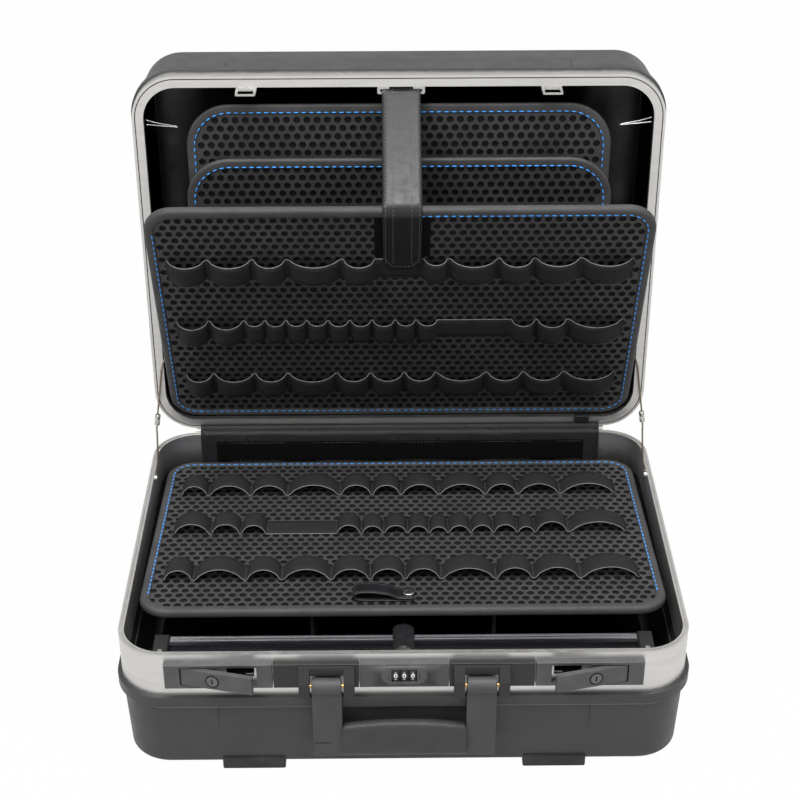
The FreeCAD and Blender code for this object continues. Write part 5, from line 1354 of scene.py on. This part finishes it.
class ToolCaseStays(bpy.types.Operator):
    """Builds the two lid stays, their ferrules and the wire clips inside the lid"""
    bl_idname = "tool_case.stays"
    bl_label = "Lid stays"

    def execute(self, context):
        for side, name in ((-1, "left"), (1, "right")):
            self.stay(side, name)
            self.wire_clip(side, name)
        return {"FINISHED"}

    def stay(self, side, name):
        """A twisted wire stay with the ferrule crimped on it."""
        y = REAR_Y
        z = RIM_Z
        points = [(0.2433, y - 0.084, z - 0.0005), (0.2433, y - 0.076, z + 0.0001),
                  (0.2436, y - 0.062, z + 0.0023), (0.2465, y - 0.036, z + 0.0032),
                  (0.2491, y - 0.014, z + 0.0040), (0.2497, y - 0.0095, z + 0.0066),
                  (0.2483, y - 0.0080, z + 0.020), (0.2445, y - 0.0058, z + 0.046),
                  (0.2413, y - 0.0038, z + 0.069), (0.2395, y - 0.0014, z + 0.077),
                  (0.2360, y + 0.0018, z + 0.086), (0.2353, y + 0.0026, z + 0.0895),
                  (0.2387, y + 0.0026, z + 0.0900)]
        line = smoothed([Vector((side * a, b, c)) for a, b, c in points], 8)
        cord = round_tube(line, 0.0009, 8)
        cord.materials.append(material("twisted_wire"))
        foot = Vector((side * 0.2490, y - 0.0086, z + 0.0120))
        run = (Vector((side * 0.2409, y - 0.0034, z + 0.072))
               - Vector((side * 0.2499, y - 0.009, z + 0.004))).normalized()
        ends = [(0.0, 0.0016), (0.0, 0.0024), (0.0005, 0.0028), (0.0036, 0.0028), (0.0040, 0.0025),
                (0.0046, 0.0025), (0.0050, 0.0028), (0.0115, 0.0028), (0.0120, 0.0024),
                (0.0120, 0.0016)]
        sides = 20
        across = run.orthogonal().normalized()
        other = run.cross(across)
        rings = []
        for reach, radius in ends:
            rings.append([foot + run * reach
                          + (across * math.cos(2 * math.pi * i / sides)
                             + other * math.sin(2 * math.pi * i / sides)) * radius
                          for i in range(sides)])
        ferrule = swept(rings, False)
        ferrule.materials.append(material("nickel_plate"))
        made = piece(name + "_stay", joined([cord, ferrule]))
        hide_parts(name + "_lid_stay")
        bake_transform(made)

    def wire_clip(self, side, name):
        """A thin spring wire at the lid's upper corner, both legs into one eye."""
        inner = CASE_D - LID_INNER
        x = 0.2373
        tip = lid_place(inner - 44, 15)
        legs = []
        for drop in (0.0, 4.5):
            wall = lid_place(inner - 34 - drop, 7)
            legs.append([Vector((side * x, wall.y, wall.z)),
                         Vector((side * (x - 0.012), (wall.y + tip.y) / 2, (wall.z + tip.z) / 2)),
                         Vector((side * (x - 0.030), tip.y, tip.z - (drop - 2.2) * 0.0002))])
        meshes = [round_tube(smoothed(leg, 6), 0.0006, 8) for leg in legs]
        for mesh in meshes:
            mesh.materials.append(material("nickel_plate"))
        made = piece(name + "_wire_clip", joined(meshes), "lid")


class ToolCaseDigits(bpy.types.Operator):
    """Puts the digits 0 to 9 round each dial"""
    bl_idname = "tool_case.digits"
    bl_label = "Dial digits"

    def execute(self, context):
        for name in ("left", "middle", "right"):
            node = name + "_dial"
            low, high = (Vector(corner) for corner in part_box(node))
            centre = (low + high) / 2
            radius = 0.00903
            meshes = []
            for digit in range(10):
                curve = bpy.data.curves.new("digit", "FONT")
                curve.body = str(digit)
                curve.size = 0.0062
                curve.align_x = "CENTER"
                curve.align_y = "CENTER"
                curve.extrude = 0.00006
                curve.offset = 0.00026
                carrier = bpy.data.objects.new("digit", curve)
                context.scene.collection.objects.link(carrier)
                graph = context.evaluated_depsgraph_get()
                mesh = bpy.data.meshes.new_from_object(carrier.evaluated_get(graph))
                bpy.data.objects.remove(carrier)
                bpy.data.curves.remove(curve)
                middle = sum((v.co for v in mesh.vertices), Vector()) / len(mesh.vertices)
                for vertex in mesh.vertices:
                    x, y = vertex.co.x - middle.x, vertex.co.y - middle.y
                    reach = radius + vertex.co.z
                    angle = math.radians(36 * digit) + y / radius
                    vertex.co = centre + Vector((x, -reach * math.cos(angle),
                                                 reach * math.sin(angle)))
                meshes.append(facing_out(mesh))
                meshes[-1].materials.clear()
                meshes[-1].materials.append(material("digit_paint"))
            made = piece(name + "_digits", joined(meshes), name + "_dial_body", smooth=False)
        return {"FINISHED"}


class ToolCaseTrims(bpy.types.Operator):
    """Builds the lock plate's open windows, the name plate's bare field and a dark ring round each
    key, painted shade for the gap round its barrel
    """
    bl_idname = "tool_case.trims"
    bl_label = "Plate and key trims"

    def execute(self, context):
        self.lock_plate()
        self.name_field()
        for side in ("left", "right"):
            centre, normal = facing_plane(side + "_key_barrel", Vector((0, -1, 0)))
            # A dark ring round the key barrel: painted shade for the gap round it.
            mesh = hoop(centre, normal, 0.0056, 0.00045)
            made = piece(side + "_key_shade_ring", mesh, side + "_lever", materials=("lock_barrel",))
        return {"FINISHED"}

    def lock_plate(self):
        """The lock plate, with its housing cut level with the bezel so that the windows open."""
        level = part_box("left_dial")[0][1] - 0.00021
        work = bmesh.new()
        work.from_mesh(frame["nodes"]["combination_lock_plate"].data)
        bmesh.ops.remove_doubles(work, verts=work.verts, dist=1e-6)
        cut = bmesh.ops.bisect_plane(work, geom=work.verts[:] + work.edges[:] + work.faces[:],
                                     plane_co=(0, level, 0), plane_no=(0, -1, 0), clear_outer=True)
        edges = [e for e in cut["geom_cut"] if isinstance(e, bmesh.types.BMEdge)]
        bmesh.ops.triangle_fill(work, edges=edges, use_beauty=True)
        bmesh.ops.recalc_face_normals(work, faces=work.faces)
        mesh = bpy.data.meshes.new("mesh")
        work.to_mesh(mesh)
        work.free()
        made = piece("lock_plate", mesh, "base", materials=("plate_black",))
        mesh.set_sharp_from_angle(angle=math.radians(30))
        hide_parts("combination_lock_plate")

    def name_field(self):
        """The name plate's bare dark field."""
        low, high = (Vector(corner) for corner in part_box("name_plate"))
        centre, normal = facing_plane("name_plate", Vector((0, 0, 1)))
        across = Vector((1, 0, 0))
        up = normal.cross(across)
        width = high.x - low.x - 0.0036
        height = high.y - low.y - 0.0040
        outline = rounded_outline(width, height, 0.0018, 0, turns=6, step=0.01)
        rings = []
        for inset, rise in ((0.0, 0.0), (0.0, 0.00012), (0.0003, 0.00025)):
            ring = []
            for point in outline:
                x = point.x * (1 - inset / width * 2)
                y = (point.y - height / 2) * (1 - inset / height * 2)
                ring.append(centre + across * x + up * y + normal * rise)
            rings.append(ring)
        made = piece("name_field", swept(rings, False), "lid", smooth=False,
                     materials=("plate_black",))


class ToolCaseGrip(bpy.types.Operator):
    """Builds the soft grip of the handle"""
    bl_idname = "tool_case.grip"
    bl_label = "Handle grip"

    def execute(self, context):
        low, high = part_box("handle_grip")
        half = (high[0] - low[0]) / 2
        mid_y = (low[1] + high[1]) / 2
        thick = (high[1] - low[1]) / 2
        bottom = low[2]
        top = high[2]
        rings = []
        count = 48
        sides = 28
        for i in range(count + 1):
            share = i / count * 2 - 1
            x = share * half
            crown = top - 0.004 * share * share
            end = min(1.0, (1 - abs(share)) * half / 0.0012)
            squeeze = 0.93 + 0.07 * math.sqrt(max(0.0, 1 - (1 - end) ** 2))
            height = (crown - bottom) / 2 * squeeze
            mid_z = (crown + bottom) / 2
            ring = []
            for k in range(sides):
                angle = 2 * math.pi * k / sides
                c, s = math.cos(angle), math.sin(angle)
                power = 0.42
                py = math.copysign(abs(c) ** power, c) * thick * squeeze
                pz = math.copysign(abs(s) ** 0.5, s) * height
                ring.append(Vector((x, mid_y + py, mid_z + pz)))
            rings.append(ring)
        made = piece("soft_grip", swept(rings, False), "handle", materials=("pebbled_vinyl",))
        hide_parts("handle_grip")
        return {"FINISHED"}


class ToolCaseFinishes(bpy.types.Operator):
    """Gives every CAD piece that stays in view its material"""
    bl_idname = "tool_case.finishes"
    bl_label = "Finishes"

    def execute(self, context):
        finish = {
            "moulded_abs": ("base_shell",),
            "brushed_frame": ("base_frame", "lid_frame", "name_plate"),
            "drawn_rail": ("front_rail",),
            "plate_black": ("left_latch_plate", "right_latch_plate", "combination_lock_plate",
                            "left_latch_lever", "right_latch_lever"),
            # Nearly black, partly as painted shade.
            "dark_and_shaded_plate": ("left_handle_bracket", "right_handle_bracket", "rail_holders",
                              "board_rail", "board_clip_knob", "left_dial", "middle_dial",
                              "right_dial", "board_ledge"),
            "handle_nylon": ("handle_frame",),
            "nickel_plate": ("hinge_base_leaf", "hinge_base_rivets", "hinge_lid_leaf",
                             "hinge_lid_rivets", "hinge_pin", "holder_screws", "rail_snap",
                             "stay_screws", "lid_keepers", "strap_clips", "pull_rivet"),
            "brass_plate": ("front_pins",),
            "barrel_zinc": ("left_key_barrel", "right_key_barrel"),
            "lock_barrel": ("left_latch_hook", "right_latch_hook"),
            "dusty_rubber": ("feet", "lid_seal"),
            "panel_cover": ("front_panel", "cross_dividers"),
            "pile_cloth": ("floor_mat",),
        }
        for name, nodes in finish.items():
            for node in nodes:
                mesh = frame["nodes"][node].data
                mesh.materials.clear()
                mesh.materials.append(material(name))
        self.lid_shell()
        return {"FINISHED"}

    def lid_shell(self):
        """The lid is textured outside and smooth inside, with painted shade darkening the inside,
        so its faces take two materials.
        """
        mesh = frame["nodes"]["lid_shell"].data
        mesh.materials.clear()
        mesh.materials.append(material("moulded_abs"))
        mesh.materials.append(material("smooth_abs"))
        low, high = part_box("lid_shell")
        for face in mesh.polygons:
            at = face.center
            normal = face.normal
            inward = ((at.x * normal.x < -1e-5 and abs(normal.x) > 0.5)
                      or (normal.y < -0.5 and at.y > high[1] - 0.012)
                      or (abs(normal.z) > 0.5 and (at.z - (low[2] + high[2]) / 2) * normal.z < 0
                          and low[0] + 0.0065 < at.x < high[0] - 0.0065))
            face.material_index = 1 if inward and at.y > low[1] + 0.006 else 0


class ToolCaseStage(bpy.types.Operator):
    """Sets up the floor, the light and the camera"""
    bl_idname = "tool_case.stage"
    bl_label = "Stage"

    def execute(self, context):
        floor = bpy.data.meshes.new("floor")
        size = 6.0
        floor.from_pydata([(-size, -size, 0), (size, -size, 0), (size, size, 0), (-size, size, 0)],
                          [], [(0, 1, 2, 3)])
        piece("floor", floor, smooth=False, materials=("studio_floor",))
        self.world(context)
        for lamp in LAMPS:
            self.lamp(*lamp)
        self.camera(context)
        context.scene.view_settings.view_transform = "Standard"
        return {"FINISHED"}

    def world(self, context):
        """A white surround for the camera, and a soft one for the light and the metals."""
        world = bpy.data.worlds.new("studio")
        context.scene.world = world
        world.use_nodes = True
        tree = world.node_tree
        tree.nodes.clear()
        path = add_node(tree, "ShaderNodeLightPath").outputs
        soft = add_node(tree, "ShaderNodeBackground", {"Color": (0.94, 0.96, 1.0, 1.0),
                                                       "Strength": 0.17})
        tent = add_node(tree, "ShaderNodeBackground", {"Color": (1, 1, 1, 1), "Strength": 0.62})
        white = add_node(tree, "ShaderNodeBackground", {"Color": (1, 1, 1, 1), "Strength": 1.0})
        lit = add_node(tree, "ShaderNodeMixShader", {0: path["Is Glossy Ray"],
                                                     1: soft.outputs["Background"],
                                                     2: tent.outputs["Background"]})
        seen = add_node(tree, "ShaderNodeMath", {0: path["Is Camera Ray"],
                                                 1: path["Is Transmission Ray"]},
                        operation="MAXIMUM")
        mix = add_node(tree, "ShaderNodeMixShader", {0: seen.outputs["Value"],
                                                     1: lit.outputs["Shader"],
                                                     2: white.outputs["Background"]})
        add_node(tree, "ShaderNodeOutputWorld", {"Surface": mix.outputs["Shader"]})

    def lamp(self, name, place, width, height, power):
        """A soft rectangular lamp that looks at the case."""
        data = bpy.data.lights.new(name, "AREA")
        data.shape = "RECTANGLE"
        data.size = width
        data.size_y = height
        data.energy = power
        made = bpy.data.objects.new(name, data)
        made.location = place
        aim = Vector((0, 0, 0.2)) - Vector(place)
        made.rotation_euler = aim.to_track_quat("-Z", "Y").to_euler()
        bpy.context.scene.collection.objects.link(made)

    def camera(self, context):
        """The camera at the photograph's viewpoint."""
        data = bpy.data.cameras.new("camera")
        data.sensor_width = SENSOR
        data.lens = CAMERA_PIXELS / PHOTO_PIXELS * SENSOR
        data.shift_y = CAMERA_SHIFT
        data.clip_end = 50
        made = bpy.data.objects.new("camera", data)
        turn = (Matrix.Rotation(math.radians(CAMERA_YAW), 4, "Z")
                @ Matrix.Rotation(math.radians(90 - CAMERA_PITCH), 4, "X")
                @ Matrix.Rotation(math.radians(CAMERA_ROLL), 4, "Z"))
        made.matrix_world = Matrix.Translation(CAMERA_PLACE) @ turn
        context.scene.collection.objects.link(made)
        context.scene.camera = made


class ToolCasePanel(bpy.types.Panel):
    """Lists the pieces of the tool case"""
    bl_idname = "VIEW3D_PT_tool_case"
    bl_label = "Tool case"
    bl_space_type = "VIEW_3D"
    bl_region_type = "UI"
    bl_category = "Tool Case"

    def draw(self, context):
        for group in (context.scene.tool_case_sizes, context.scene.tool_case_colours):
            box = self.layout.box()
            for name in group.bl_rna.properties.keys():
                if name not in ("rna_type", "name"):
                    box.prop(group, name)
        for operator in OPERATORS:
            self.layout.operator(operator.bl_idname)


OPERATORS = (ToolCaseFinishes, ToolCaseBoards, ToolCaseLoops, ToolCaseStraps, ToolCaseCover,
             ToolCaseStays, ToolCaseDigits, ToolCaseTrims, ToolCaseGrip, ToolCaseStage)
CLASSES = (ToolCaseSizes, ToolCaseColours) + OPERATORS + (ToolCasePanel,)


def register():
    """Adds the classes and the settings."""
    for cls in CLASSES:
        bpy.utils.register_class(cls)
    bpy.types.Scene.tool_case_sizes = bpy.props.PointerProperty(type=ToolCaseSizes)
    bpy.types.Scene.tool_case_colours = bpy.props.PointerProperty(type=ToolCaseColours)


def unregister():
    """Takes the classes and the settings away."""
    del bpy.types.Scene.tool_case_colours
    del bpy.types.Scene.tool_case_sizes
    for cls in reversed(CLASSES):
        bpy.utils.unregister_class(cls)


def main():
    """Builds every piece through its operator."""
    register()
    for operator in OPERATORS:
        name = operator.bl_idname.split(".")[1]
        if getattr(bpy.ops.tool_case, name)() != {"FINISHED"}:
            raise RuntimeError(operator.bl_label + " wasn't finished")


if __name__ == "__main__":
    main()
